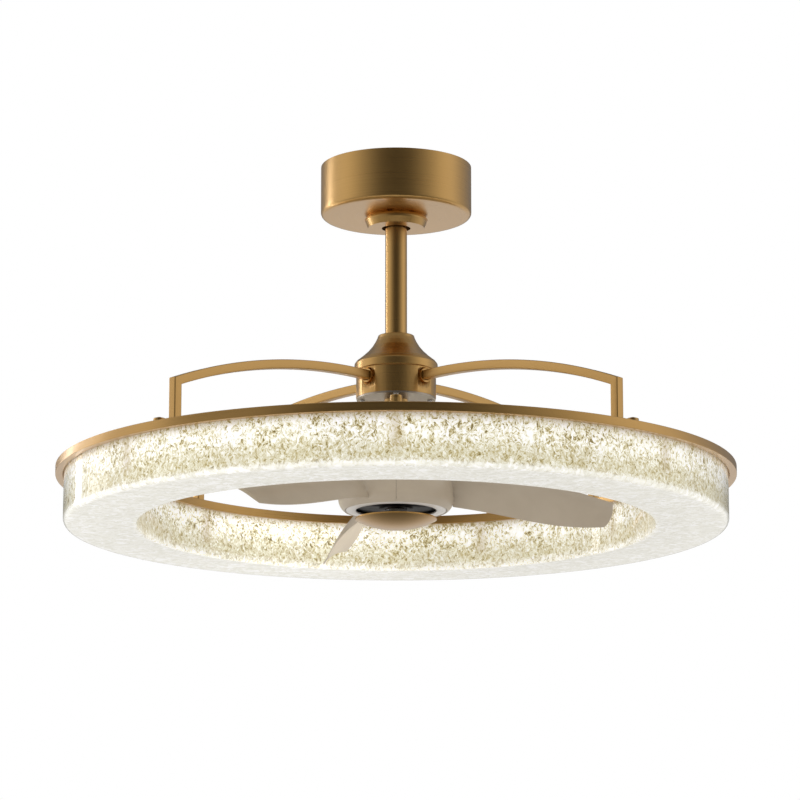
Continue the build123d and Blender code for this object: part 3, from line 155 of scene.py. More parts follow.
def joined(surfaces):
    """Several surfaces as one."""
    offsets = np.cumsum([0] + [len(points) for points, _, _ in surfaces[:-1]])
    return (
        np.concatenate([points for points, _, _ in surfaces]),
        [part + offset for (_, faces, _), offset in zip(surfaces, offsets) for part in faces],
        np.concatenate([grain for _, _, grain in surfaces]),
    )


def turned(surface, angle):
    """The same surface turned about the fan's axis. Its brushing lines stay with it."""
    points, faces, grain = surface
    turn = np.array([
        [math.cos(angle), -math.sin(angle), 0],
        [math.sin(angle), math.cos(angle), 0],
        [0, 0, 1],
    ])
    return points @ turn.T, faces, grain


def piece(name, surface, finish, body, replaces=()):
    """Mesh object from points, faces and brushing lines, welded at its seams and smooth between its sharp
    edges."""
    points, faces, grain = surface
    mesh = bpy.data.meshes.new(name)
    mesh.from_pydata(points.tolist(), [], [face for part in faces for face in part.tolist()])
    mesh.attributes.new("grain", "FLOAT_VECTOR", "POINT").data.foreach_set("vector", grain.ravel())
    return dressed(name, mesh, finish, body, replaces)


def dressed(name, mesh, finish, body, replaces):
    """Weld the mesh, set its shading and finish, and let it ride on its body."""
    work = bmesh.new()
    work.from_mesh(mesh)
    bmesh.ops.remove_doubles(work, verts=work.verts, dist=0.002 * mm)
    bmesh.ops.dissolve_degenerate(work, edges=work.edges, dist=0.001 * mm)
    work.to_mesh(mesh)
    work.free()
    mesh.shade_smooth()
    mesh.set_sharp_from_angle(angle=sharp_angle)
    mesh.materials.clear()
    mesh.materials.append(finish)
    obj = bpy.data.objects.new(name, mesh)
    bpy.context.scene.collection.objects.link(obj)
    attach(obj, body)
    if replaces:
        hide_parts(*replaces)
    return obj


def mesh_points(mesh):
    """Places of all the mesh's points, one row each."""
    points = np.empty(3 * len(mesh.vertices))
    mesh.vertices.foreach_get("co", points)
    return points.reshape(-1, 3)


def welded(node, body):
    """Copy of a CAD node with its triangles merged, so that its round faces shade smoothly. The brushing
    lines run round the fan's axis."""
    mesh = frame["nodes"][node].data.copy()
    points = mesh_points(mesh)
    radius = np.maximum(np.hypot(points[:, 0], points[:, 1]), 1 * mm)
    mean = radius.mean()
    grain = np.stack([
        points[:, 0] / radius * mean,
        points[:, 1] / radius * mean,
        points[:, 2] + radius,
    ], axis=1)
    mesh.attributes.new("grain", "FLOAT_VECTOR", "POINT").data.foreach_set("vector", grain.ravel())
    return dressed(f"{node}_skin", mesh, finishes[slots[node]], body, (node,))


# Materials: one function for each kind of finish

def new_finish(name):
    """New material, with its node tree and its shader."""
    finish = bpy.data.materials.new(name)
    finish.use_nodes = True
    return finish, finish.node_tree, finish.node_tree.nodes["Principled BSDF"]


def node(tree, kind, **values):
    """New node; a value named after a property sets it, any other sets the socket of that name."""
    made = tree.nodes.new(kind)
    for key, value in values.items():
        if hasattr(made, key):
            setattr(made, key, value)
        else:
            made.inputs[key.replace("_", " ")].default_value = value
    return made


def colour_sockets(sockets):
    """The colour sockets of a mix node, which also has sockets of other kinds."""
    return [socket for socket in sockets if socket.type == "RGBA"]


def grey(level):
    """Plain colour of one level."""
    return (level,) * 3


def object_place(tree):
    """Coordinates that stay with the object."""
    return node(tree, "ShaderNodeTexCoord").outputs["Object"]


def axes_of(tree, source):
    """The three parts of a vector."""
    parts = tree.nodes.new("ShaderNodeSeparateXYZ")
    tree.links.new(source, parts.inputs["Vector"])
    return parts.outputs


def ramp(tree, source, stops):
    """Colour ramp fed by a socket, with its stops given as (place, colour)."""
    made = tree.nodes.new("ShaderNodeValToRGB")
    elements = made.color_ramp.elements
    while len(elements) < len(stops):
        elements.new(0.5)
    for element, (place, colour) in zip(elements, stops):
        element.position = place
        element.color = (*colour, 1)
    tree.links.new(source, made.inputs["Fac"])
    return made.outputs["Color"]


def scaled(tree, source, scale):
    """Coordinates stretched by a scale for each axis."""
    made = tree.nodes.new("ShaderNodeMapping")
    made.inputs["Scale"].default_value = scale
    tree.links.new(source, made.inputs["Vector"])
    return made.outputs["Vector"]


def noise(tree, source, scale, detail=3.0, roughness=0.55, distortion=0.0):
    """Noise node. Over a place in metres its scale is in cycles per metre."""
    made = node(
        tree,
        "ShaderNodeTexNoise",
        Scale=scale,
        Detail=detail,
        Roughness=roughness,
        Distortion=distortion,
    )
    tree.links.new(source, made.inputs["Vector"])
    return made


def maths(tree, operation, first, second=0.0):
    """Maths node; each value is a socket or a number."""
    made = node(tree, "ShaderNodeMath", operation=operation)
    for socket, value in zip(made.inputs, (first, second)):
        if isinstance(value, (int, float)):
            socket.default_value = value
        else:
            tree.links.new(value, socket)
    return made.outputs["Value"]


def line(tree, source, slope, start):
    """Source times slope, plus start."""
    return maths(tree, "ADD", maths(tree, "MULTIPLY", source, slope), start)


def about_half(tree, source, gain):
    """How far a value lies from a half, times a gain."""
    return maths(tree, "MULTIPLY", maths(tree, "SUBTRACT", source, 0.5), gain)


def relief(tree, shader, height, strength, depth):
    """Bump from a height socket, at a strength and a real depth."""
    made = node(tree, "ShaderNodeBump", Strength=strength, Distance=depth)
    tree.links.new(height, made.inputs["Height"])
    tree.links.new(made.outputs["Normal"], shader.inputs["Normal"])
    return made


def blended(tree, factor, first, second):
    """Mix of two colours, each a socket or a plain colour, by a factor socket."""
    made = tree.nodes.new("ShaderNodeMix")
    made.data_type = "RGBA"
    for socket, value in zip(colour_sockets(made.inputs), (first, second)):
        if isinstance(value, tuple):
            socket.default_value = (*value, 1)
        else:
            tree.links.new(value, socket)
    tree.links.new(factor, made.inputs[0])
    return colour_sockets(made.outputs)[0]


def brushed_metal(name, light, dark, roughness, coat=0.0):
    """Metal brushed along its grain lines: long fine streaks in colour, gloss and relief, over a slow drift
    of tone that handling leaves."""
    finish, tree, shader = new_finish(name)
    long_streaks = (5, 5, 1100)
    fine_lines = (14, 14, 3600)
    grain = node(tree, "ShaderNodeAttribute", attribute_name="grain").outputs["Vector"]
    streaks = noise(tree, scaled(tree, grain, long_streaks), 1.0, detail=4.0, roughness=0.65).outputs["Fac"]
    fine = noise(tree, scaled(tree, grain, fine_lines), 1.0, detail=2.0).outputs["Fac"]
    drift = noise(tree, object_place(tree), 9.0, detail=2.0).outputs["Fac"]
    streaked = ramp(tree, streaks, [(0.3, dark), (0.7, light)])
    toned = blended(tree, drift, streaked, light)
    tree.links.new(toned, shader.inputs["Base Color"])
    gloss = ramp(tree, streaks, [(0.25, grey(roughness * 0.85)), (0.75, grey(roughness * 1.2))])
    tree.links.new(gloss, shader.inputs["Roughness"])
    shader.inputs["Metallic"].default_value = 1.0
    shader.inputs["Coat Weight"].default_value = coat
    shader.inputs["Coat Roughness"].default_value = 0.25
    relief(tree, shader, fine, strength=0.12, depth=0.02 * mm)
    return finish


def mottled(name, light, dark, scale, roughness, metallic=0.0, depth=0.03 * mm, coat=0.0, bump=0.2):
    """Finish whose tone wanders between two colours, with fine relief from a finer noise."""
    finish, tree, shader = new_finish(name)
    place = object_place(tree)
    broad = noise(tree, place, scale, detail=4.0).outputs["Fac"]
    fine = noise(tree, place, scale * 12, detail=3.0).outputs["Fac"]
    tree.links.new(ramp(tree, broad, [(0.3, dark), (0.7, light)]), shader.inputs["Base Color"])
    gloss = ramp(tree, fine, [(0.3, grey(roughness * 0.85)), (0.7, grey(min(1.0, roughness * 1.15)))])
    tree.links.new(gloss, shader.inputs["Roughness"])
    shader.inputs["Metallic"].default_value = metallic
    shader.inputs["Coat Weight"].default_value = coat
    relief(tree, shader, fine, bump, depth)
    return finish


def spangled_zinc(name):
    """Zinc-plated sheet: large crystals that differ in tone and gloss."""
    finish, tree, shader = new_finish(name)
    crystals = node(tree, "ShaderNodeTexVoronoi", Scale=160.0)
    tree.links.new(object_place(tree), crystals.inputs["Vector"])
    tone = ramp(tree, crystals.outputs["Color"], [(0.2, (0.50, 0.51, 0.52)), (0.8, (0.68, 0.69, 0.70))])
    tree.links.new(tone, shader.inputs["Base Color"])
    gloss = ramp(tree, crystals.outputs["Color"], [(0.2, grey(0.28)), (0.8, grey(0.46))])
    tree.links.new(gloss, shader.inputs["Roughness"])
    shader.inputs["Metallic"].default_value = 1.0
    return finish


def moulded_plastic(name, light, dark, roughness):
    """Painted moulding: a very fine leather-like texture, faint cloudy tone and a soft gloss."""
    finish, tree, shader = new_finish(name)
    place = object_place(tree)
    cloud = noise(tree, place, 26.0, detail=3.0).outputs["Fac"]
    texture = noise(tree, place, 1500.0, detail=2.0).outputs["Fac"]
    tree.links.new(ramp(tree, cloud, [(0.3, dark), (0.7, light)]), shader.inputs["Base Color"])
    gloss = ramp(tree, texture, [(0.3, grey(roughness * 0.9)), (0.7, grey(roughness * 1.1))])
    tree.links.new(gloss, shader.inputs["Roughness"])
    relief(tree, shader, texture, strength=0.08, depth=0.03 * mm)
    return finish


def crackle_level(tree, place, painted_glint, glint_gathering):
    """Height of the crackle: rough noise of about three millimetres, bent by a coarser noise and drawn out
    in height, so that it runs in short wavy ridges, with small cells over it. Slow noise gathers the painted
    glints. The more painted glint a place has, the wider the level swings and the higher and whiter it lies."""
    bend = noise(tree, place, 110.0, detail=1.0)
    shift = node(tree, "ShaderNodeVectorMath", operation="MULTIPLY_ADD")
    tree.links.new(bend.outputs["Color"], shift.inputs[0])
    shift.inputs[1].default_value = (10 * mm,) * 3
    tree.links.new(place, shift.inputs[2])
    drawn = scaled(tree, shift.outputs["Vector"], (1.0, 1.0, 0.7))
    ridges = noise(tree, drawn, 290.0, detail=3.0, roughness=0.78, distortion=0.9).outputs["Fac"]
    cells = node(tree, "ShaderNodeTexVoronoi", Scale=440.0)
    tree.links.new(drawn, cells.inputs["Vector"])
    tone = tree.nodes.new("ShaderNodeSeparateColor")
    tree.links.new(cells.outputs["Color"], tone.inputs["Color"])
    swing = maths(tree, "ADD", about_half(tree, ridges, 3.0), about_half(tree, tone.outputs["Red"], 0.55))
    swing = maths(tree, "ADD", swing, maths(tree, "MULTIPLY", about_half(tree, glint_gathering, 1.2), painted_glint))
    # Painted glints: widen the swing and lift the level toward white.
    reach = line(tree, painted_glint, 0.60, 0.40)
    raised = line(tree, painted_glint, 0.20, 0.38)
    return maths(tree, "ADD", maths(tree, "MULTIPLY", swing, reach), raised)


def frost_colour(tree, place, glint_gathering):
    """Calm frosted acrylic: a soft veil with painted white sparks of light, painted glints that are
    strongest where the slow noise gathers them."""
    veil = noise(tree, place, 75.0, detail=7.0, roughness=0.74, distortion=1.4).outputs["Fac"]
    frosted = ramp(tree, veil, [
        (0.36, (0.70, 0.69, 0.61)),
        (0.50, (0.81, 0.80, 0.725)),
        (0.62, (0.93, 0.925, 0.87)),
    ])
    # Painted glints: small white sparks mixed into the frosted colour.
    painted_sparks = noise(tree, place, 120.0, detail=3.0, roughness=0.6, distortion=0.8).outputs["Fac"]
    painted_sparks = ramp(tree, painted_sparks, [(0.50, grey(0.0)), (0.57, grey(1.0))])
    clusters = ramp(tree, glint_gathering, [(0.38, grey(0.35)), (0.55, grey(1.0))])
    return blended(tree, maths(tree, "MULTIPLY", painted_sparks, clusters), frosted, grey(1.0))


def ice_acrylic(name):
    """Clear acrylic over a crackled inner face, lit from within. The attribute look holds, for each point,
    how much of the crackle shows, how strong its painted glints are, and the painted shade of a bolt or of
    the brass lip. The less crackle shows, the calmer and more frosted the acrylic is. The crackle runs from
    golden brown to the white of painted glints with its height, a very slow noise cools its tone a little in
    places, and places with more painted glint glow more."""
    finish, tree, shader = new_finish(name)
    place = object_place(tree)
    look = node(tree, "ShaderNodeAttribute", attribute_name="look").outputs["Vector"]
    crackle, painted_glint, shade = axes_of(tree, look)
    glint_gathering = noise(tree, place, 42.0, detail=3.0, roughness=0.6).outputs["Fac"]
    level = crackle_level(tree, place, painted_glint, glint_gathering)
    # The ramp's white end is painted glints.
    flaked = ramp(tree, level, [
        (0.05, (0.20, 0.15, 0.05)),
        (0.24, (0.52, 0.43, 0.20)),
        (0.39, (0.70, 0.655, 0.46)),
        (0.52, (0.80, 0.775, 0.62)),
        (0.70, (0.98, 0.97, 0.87)),
        (0.84, (1.00, 1.00, 1.00)),
    ])
    drift = noise(tree, place, 14.0, detail=2.0).outputs["Fac"]
    cool = ramp(tree, drift, [(0.44, (1.0, 1.0, 1.0)), (0.70, (0.96, 0.96, 1.0))])
    tinted = node(tree, "ShaderNodeMix", data_type="RGBA", blend_type="MULTIPLY")
    tinted.inputs[0].default_value = 1.0
    for socket, colour in zip(colour_sockets(tinted.inputs), (flaked, cool)):
        tree.links.new(colour, socket)
    frosted = frost_colour(tree, place, glint_gathering)
    walled = blended(tree, crackle, frosted, colour_sockets(tinted.outputs)[0])
    # Painted shade of the bolts behind the acrylic and of the brass lip, in golden brown.
    shaded = blended(tree, shade, walled, (0.40, 0.29, 0.13))
    tree.links.new(shaded, shader.inputs["Base Color"])
    # The lit ring's glow, painted stronger where the painted glints are.
    tree.links.new(shaded, shader.inputs["Emission Color"])
    tree.links.new(line(tree, painted_glint, 0.16, 0.14), shader.inputs["Emission Strength"])
    bump = relief(tree, shader, level, strength=0.5, depth=0.5 * mm)
    strength = ramp(tree, crackle, [(0.0, grey(0.02)), (1.0, grey(0.45))])
    tree.links.new(strength, bump.inputs["Strength"])
    gloss = ramp(tree, crackle, [(0.0, grey(0.40)), (1.0, grey(0.20))])
    tree.links.new(gloss, shader.inputs["Roughness"])
    shader.inputs["Specular IOR Level"].default_value = 0.3
    shader.inputs["Coat Weight"].default_value = 0.85
    shader.inputs["Coat Roughness"].default_value = 0.04
    shader.inputs["Coat IOR"].default_value = 1.45
    return finish


brass = brushed_metal("brushed_brass", (0.64, 0.375, 0.112), (0.53, 0.30, 0.082), roughness=0.30, coat=0.7)
finishes = {
    "brushed_brass": brass,
    "plated_base": brushed_metal("plated_base", (0.52, 0.455, 0.38), (0.43, 0.375, 0.31), roughness=0.36),
    "zinc_steel": spangled_zinc("zinc_steel"),
    "frosted_acrylic": ice_acrylic("frosted_acrylic"),
    "ice_acrylic": mottled(
        "ice_liner", (0.90, 0.87, 0.76), (0.62, 0.56, 0.42), scale=300.0, roughness=0.20,
        depth=1 * mm, bump=0.7,
    ),
    "black_enamel": mottled(
        "black_enamel", (0.022, 0.021, 0.020), (0.012, 0.012, 0.012), scale=70.0, roughness=0.45, coat=0.1,
    ),
    "taupe_plastic": moulded_plastic("taupe_plastic", (0.47, 0.40, 0.31), (0.43, 0.36, 0.275), 0.34),
    "pale_plastic": moulded_plastic("pale_plastic", (0.76, 0.72, 0.67), (0.69, 0.65, 0.60), 0.30),
}

# Plain mottled finishes: light colour, dark colour, scale of the mottling, roughness and metallic
plain_finishes = {
    "bright_steel": ((0.72, 0.72, 0.73), (0.60, 0.60, 0.61), 220.0, 0.24, 1.0),
    "bronze_bolt": ((0.46, 0.28, 0.12), (0.30, 0.18, 0.08), 260.0, 0.32, 1.0),
    "copper_wire": ((0.55, 0.22, 0.10), (0.40, 0.14, 0.06), 900.0, 0.28, 1.0),
    "black_plastic": ((0.030, 0.030, 0.032), (0.018, 0.018, 0.020), 90.0, 0.42, 0.0),
    "white_plastic": ((0.80, 0.80, 0.78), (0.74, 0.74, 0.72), 60.0, 0.40, 0.0),
    "led_board": ((0.82, 0.82, 0.80), (0.74, 0.75, 0.72), 110.0, 0.35, 0.0),
    "led_chip": ((0.85, 0.66, 0.18), (0.75, 0.55, 0.12), 600.0, 0.30, 0.0),
}
for finish_name, values in plain_finishes.items():
    finishes[finish_name] = mottled(finish_name, *values)

for node_name, obj in frame["nodes"].items():
    for material_slot in obj.material_slots:
        material_slot.material = finishes[slots[node_name]]

# Canopy: drum with a rounded lower edge, and a hole for the collar
canopy_wall = 1.5 * mm
canopy_edge = 5 * mm
canopy_hole = 24 * mm
canopy_radius = high_corner("canopy")[0]
canopy_bottom = low_corner("canopy")[2]
piece("canopy_cover", revolved(rounded([
    (canopy_radius, 0, 0.3 * mm),
    (canopy_radius, canopy_bottom, canopy_edge),
    (canopy_hole, canopy_bottom, 0.4 * mm),
    (canopy_hole, canopy_bottom + canopy_wall, 0),
    (canopy_radius - canopy_wall, canopy_bottom + canopy_wall, canopy_edge - canopy_wall),
    (canopy_radius - canopy_wall, 0, 0.3 * mm),
])), brass, "bracket", ("canopy",))
welded("canopy_collar", "bracket")

# Downrod: plain tube
rod_radius = high_corner("downrod")[0]
rod_bottom = low_corner("downrod")[2]
rod_top = high_corner("downrod")[2]
rod_wall = 1.6 * mm
piece("downrod_tube", revolved(rounded([
    (rod_radius, rod_top, 0.4 * mm),
    (rod_radius, rod_bottom, 0.4 * mm),
    (rod_radius - rod_wall, rod_bottom, 0),
    (rod_radius - rod_wall, rod_top, 0),
]), turns=96), brass, "pendant", ("downrod",))

# Bell: flares from the rod to a step and a straight foot that sits on the hub
bell_top = high_corner("yoke_cover")[2]
bell_bottom = low_corner("yoke_cover")[2]
bell_outside = below(bell_top, [
    (15.0, 0, 0.3),
    (21.2, 0, 0.8),
    (22.6, 4, 6),
    (24.6, 8, 6),
    (28.2, 14, 6),
    (33.2, 20, 6),
    (39.0, 25.4, 5),
    (43.8, 29.4, 0.3),
    (44.6, 30.6, 0.3),
    (46.6, 31.4, 1),
    (49.4, 35, 3),
])
bell_foot = below(bell_bottom, [(49.4, 0, 0.7), (47.4, 0, 0.3)])
bell_inside = below(bell_top, [(47.2, 34.5, 1), (41.5, 30.5, 2), (26.0, 14, 4), (15.0, 3, 0)])
bell_outline = rounded(bell_outside + bell_foot + bell_inside, spacing=3 * mm)
piece("bell_cover", revolved(bell_outline, turns=240), brass, "pendant", ("yoke_cover",))
welded("arm_hub", "pendant")
welded("hub_base", "pendant")

# Arms: square bars with eased edges on an arc, mitred into the posts. The arc's highest point lies a little
# below the hub's top.
arm_bar = 10.5 * mm
arm_edge = 1.2 * mm
arm_crown_offset = 70 * mm
arm_crown_drop = 5.5 * mm
arm_bend_radius = 753 * mm
arm_inner_end = 43 * mm
arm_post_offset = 348 * mm
arm_foot = high_corner("ring_plate")[2]
arm_arc_height = high_corner("arm_hub")[2] - arm_crown_drop - arm_bend_radius
arm_arc_rows = 72
arm_post_rows = 14
arm_angles = {
    "arm_rear_right": math.radians(45),
    "arm_rear_left": math.radians(135),
    "arm_front_left": math.radians(225),
    "arm_front_right": math.radians(315),
}


def square_section(width, edge, steps=6):
    """Square with rounded corners, as (sideways, outward) pairs."""
    half = width / 2
    corners = [(half, -half, edge), (half, half, edge), (-half, half, edge), (-half, -half, edge)]
    return rounded(corners, steps, width)


def arm_surface(angle):
    """Bar swept along an arc and then straight down. Section point (side, out) lies out from the middle
    line: on the arc at the bend radius plus out, on the post at the post's offset plus out, and the two
    meet at the mitre. Rows run along the bar, columns round the section, and a fan of triangles closes each
    end."""
    section = square_section(arm_bar, arm_edge)
    side, out = section[:, 0], section[:, 1]
    middle = arm_bend_radius - arm_bar / 2
    begin = math.asin((arm_inner_end - arm_crown_offset) / middle)
    mitre = np.arcsin((arm_post_offset + out - arm_crown_offset) / (middle + out))
    share = np.linspace(0, 1, arm_arc_rows)[:, None]
    swing = begin + share * (mitre - begin)
    arc_out = arm_crown_offset + (middle + out) * np.sin(swing)
    arc_up = arm_arc_height + (middle + out) * np.cos(swing)
    drop = np.linspace(0, 1, arm_post_rows)[1:, None]
    post_out = arm_post_offset + out + 0 * drop
    post_up = arc_up[-1] + drop * (arm_foot - arc_up[-1])
    offset = np.concatenate([arc_out, post_out])
    height = np.concatenate([arc_up, post_up])
    sideways = np.repeat(side[None], len(offset), axis=0)
    points = np.stack([offset, sideways, height], axis=-1)
    post_grain_start, post_grain_length = 0.3, 0.09
    arc_grain = share * (arm_post_offset - arm_inner_end)
    length = np.concatenate([arc_grain, post_grain_start + drop * post_grain_length]) + 0 * offset
    around = np.concatenate([[0], np.cumsum(np.linalg.norm(np.diff(section, axis=0), axis=1))]) + 0 * offset
    grain = np.stack([length + angle, 0 * length, around], axis=-1)
    rows, columns = offset.shape
    faces = grid_faces(rows, columns, False, True)
    ends = np.stack([points[0].mean(axis=0), points[-1].mean(axis=0)])
    points = np.concatenate([points.reshape(-1, 3), ends])
    grain = np.concatenate([grain.reshape(-1, 3), grain[0, :1], grain[-1, :1]])
    ring = np.arange(columns)
    after = (ring + 1) % columns
    last = (rows - 1) * columns
    start_cap = np.stack([after, ring, 0 * ring + rows * columns], axis=1)
    end_cap = np.stack([last + ring, last + after, 0 * ring + rows * columns + 1], axis=1)
    return turned((points, [faces, start_cap, end_cap], grain), angle)


for arm_name, arm_angle in arm_angles.items():
    piece(f"{arm_name}_bar", arm_surface(arm_angle), brass, "pendant", (arm_name,))
welded("arm_sockets", "pendant")

# Ring plate: brass channel that covers the acrylic from above. Its radius is the smaller of the two that the
# packed box gives, so that it stays inside that box on every side.
ring_top = high_corner("ring_plate")[2]
ring_bottom = low_corner("ring_plate")[2]
ring_radius = min(high_corner("ring_plate")[0], -low_corner("ring_plate")[0])
ring_hole = 297 * mm
ring_roof = 2.5 * mm
ring_outer_lip = 8.5 * mm
ring_inner_lip = 5.5 * mm
piece("ring_cover", revolved(rounded([
    (ring_radius, ring_top, 0.8 * mm),
    (ring_radius, ring_bottom, 0.5 * mm),
    (ring_radius - ring_outer_lip, ring_bottom, 0.4 * mm),
    (ring_radius - ring_outer_lip, ring_top - ring_roof, 0),
    (ring_hole + ring_inner_lip, ring_top - ring_roof, 0),
    (ring_hole + ring_inner_lip, ring_bottom, 0.4 * mm),
    (ring_hole, ring_bottom, 0.5 * mm),
    (ring_hole, ring_top, 0.8 * mm),
], spacing=9 * mm), turns=432), brass, "pendant", ("ring_plate",))

# Acrylic ring: clear channel whose inner face is crackled like ice
lens_radius = high_corner("acrylic_ring")[0]
lens_hole = 304 * mm
lens_bottom = low_corner("acrylic_ring")[2]
lens_top = high_corner("acrylic_ring")[2]
lens_wall = 4 * mm
bolt_circle = 346 * mm
bolt_angles = np.radians([270, 220, 320, 69.5, 140, 30])


def eased(value, start, end):
    """Smooth step from 0 at start to 1 at end."""
    share = np.clip((value - start) / (end - start), 0, 1)
    return share * share * (3 - 2 * share)


def lens_look(points):
    """For each point of the acrylic: how much of the crackle shows, how strong its painted glints and glow
    are, and how deep the painted shade of a bolt or of the brass lip is. The wall's painted glints grow with
    height.
    The face below has few in the middle, more toward its outer side and most at its two edges."""
    calm_crackle, calm_glint = 0.14, 0.12
    bolt_spread = 8 * mm
    bolt_shade_depth, lip_shade_depth = 0.45, 0.5
    angle = np.arctan2(points[:, 1], points[:, 0])
    reach = np.hypot(points[:, 0], points[:, 1])
    height = points[:, 2]
    crackle = calm_crackle + 0.86 * eased(height, lens_bottom + 3 * mm, lens_bottom + 8 * mm)
    # Painted glints and glow: stronger with height, toward the lit LEDs near the top.
    painted_glint = calm_glint + 0.88 * eased(height, lens_bottom + 14 * mm, lens_bottom + 44 * mm)
    near_bottom = eased(lens_bottom + 7 * mm - height, 0, 3 * mm)
    outer_edge = eased(reach, lens_radius - 9 * mm, lens_radius - 3 * mm) * near_bottom
    hole_edge = eased(lens_hole + 5 * mm - reach, 0, 4 * mm) * near_bottom
    face = eased(reach, lens_hole + 10 * mm, lens_radius - 20 * mm) * near_bottom
    # Painted glints and glow along the face's two edges and toward its outer side.
    painted_glint = np.maximum(painted_glint, calm_glint + 0.5 * outer_edge + 0.8 * hole_edge + 0.22 * face)
    crackle = np.maximum(crackle, 0.6 * hole_edge)
    # Painted shade where the bolts stand behind the acrylic, and under the brass lip.
    bolt_turn = (angle[:, None] - bolt_angles + math.pi) % (2 * math.pi) - math.pi
    shade = np.exp(-((bolt_turn * reach[:, None]) / bolt_spread) ** 2).max(axis=1) * bolt_shade_depth
    shade *= eased(height, lens_bottom + 12 * mm, lens_bottom + 26 * mm)
    shade = np.maximum(shade, lip_shade_depth * eased(height, ring_bottom - 8 * mm, ring_bottom))
    return np.stack([crackle, painted_glint, shade], axis=1)


lens = piece("acrylic_channel", revolved(rounded([
    (lens_radius, lens_top, 0),
    (lens_radius, lens_bottom, 6 * mm),
    (lens_hole, lens_bottom, 2 * mm),
    (lens_hole, lens_top, 0),
    (lens_hole + lens_wall, lens_top, 0),
    (lens_hole + lens_wall, lens_bottom + lens_wall, 1 * mm),
    (lens_radius - lens_wall, lens_bottom + lens_wall, 2 * mm),
    (lens_radius - lens_wall, lens_top, 0),
], spacing=4 * mm), turns=720), finishes["frosted_acrylic"], "pendant",
    ("acrylic_ring", "ice_liner"))
look = lens_look(mesh_points(lens.data))
lens.data.attributes.new("look", "FLOAT_VECTOR", "POINT").data.foreach_set("vector", look.ravel())

# Knobs and bolts on the ring plate
knob_radius = 6.8 * mm
knob_top = high_corner("ring_knobs")[2]
knurl_ridges = 24
knurl_depth = 0.25 * mm
bolt_radius = 3 * mm
bolt_top = high_corner("ring_bolts")[2]
bolt_bottom = low_corner("ring_bolts")[2]


def knurl(outline, angle):
    """Fine ridges round the middle of the knob's side."""
    on_side = eased(outline[:, 0], knob_radius - 0.4 * mm, knob_radius - 0.1 * mm)
    within = on_side * eased(outline[:, 1], ring_top + 2.5 * mm, ring_top + 3 * mm)
    within = within * eased(-outline[:, 1], 2.5 * mm - knob_top, 3 * mm - knob_top)
    return -within[:, None] * knurl_depth * (1 + np.cos(knurl_ridges * angle)) / 2


knob = revolved(rounded([
    (0, ring_top, 0),
    (knob_radius, ring_top, 0.4 * mm),
    (knob_radius, knob_top, 1 * mm),
    (0, knob_top, 0),
], spacing=0.8 * mm), turns=144, ripple=knurl)
bolt = revolved(rounded([
    (0, bolt_bottom, 0),
    (bolt_radius, bolt_bottom, 0.6 * mm),
    (bolt_radius, bolt_top, 1.2 * mm),
    (0, bolt_top, 0),
], spacing=12 * mm), turns=48)
bolt_places = [(bolt_circle * math.cos(a), bolt_circle * math.sin(a), 0) for a in bolt_angles]
knobs = joined([moved(knob, place) for place in bolt_places])
bolts = joined([moved(bolt, place) for place in bolt_places])
piece("knurled_knobs", knobs, brass, "pendant", ("ring_knobs",))
piece("long_bolts", bolts, finishes["bronze_bolt"], "pendant", ("ring_bolts",))

# Stem and shaft, which hang still, and the motor's shell and blades, which turn
for node_name in (
    "lower_stem",
    "motor_flange",
    "motor_screws",
    "stator_shaft",
    "shaft_nut",
    "end_cap",
    "hub_base_screws",
):
    welded(node_name, "pendant")
for node_name in ("rotor_shell", "rotor_base", "blade_screws", "blade_1", "blade_2", "blade_3"):
    welded(node_name, "rotor")

# Pale ring under the blades, with a narrow dark joint round it
plate_joint = 0.9 * mm
plate_lip = 1.5 * mm
plate_thickness = 2 * mm
plate_top = high_corner("blade_ring")[2]
plate_bottom = low_corner("blade_ring")[2]
plate_radius = high_corner("blade_ring")[0] - plate_joint
plate_hole = 47.3 * mm
piece("blade_ring_plate", revolved(rounded([
    (plate_radius, plate_top, 0.3 * mm),
    (plate_radius, plate_bottom, 0.7 * mm),
    (plate_hole, plate_bottom, 0.6 * mm),
    (plate_hole, plate_bottom + plate_thickness, 0.3 * mm),
    (plate_radius - plate_lip, plate_bottom + plate_thickness, 0),
    (plate_radius - plate_lip, plate_top, 0.3 * mm),
], spacing=2 * mm), turns=240), finishes["pale_plastic"], "rotor", ("blade_ring",))

# Stage: pale floor far below, out of the camera's picture
floor_half = 30.0
floor_height = -4.6
floor_mesh = bpy.data.meshes.new("floor")
floor_mesh.from_pydata([
    (-floor_half, -floor_half, floor_height),
    (floor_half, -floor_half, floor_height),
    (floor_half, floor_half, floor_height),
    (-floor_half, floor_half, floor_height),
], [], [(0, 1, 2, 3)])
floor_finish, _, floor_shader = new_finish("floor_paint")
floor_shader.inputs["Base Color"].default_value = (*grey(0.9), 1)
floor_shader.inputs["Roughness"].default_value = 0.9
floor_mesh.materials.append(floor_finish)
floor = bpy.data.objects.new("floor", floor_mesh)
bpy.context.scene.collection.objects.link(floor)
floor.visible_glossy = False


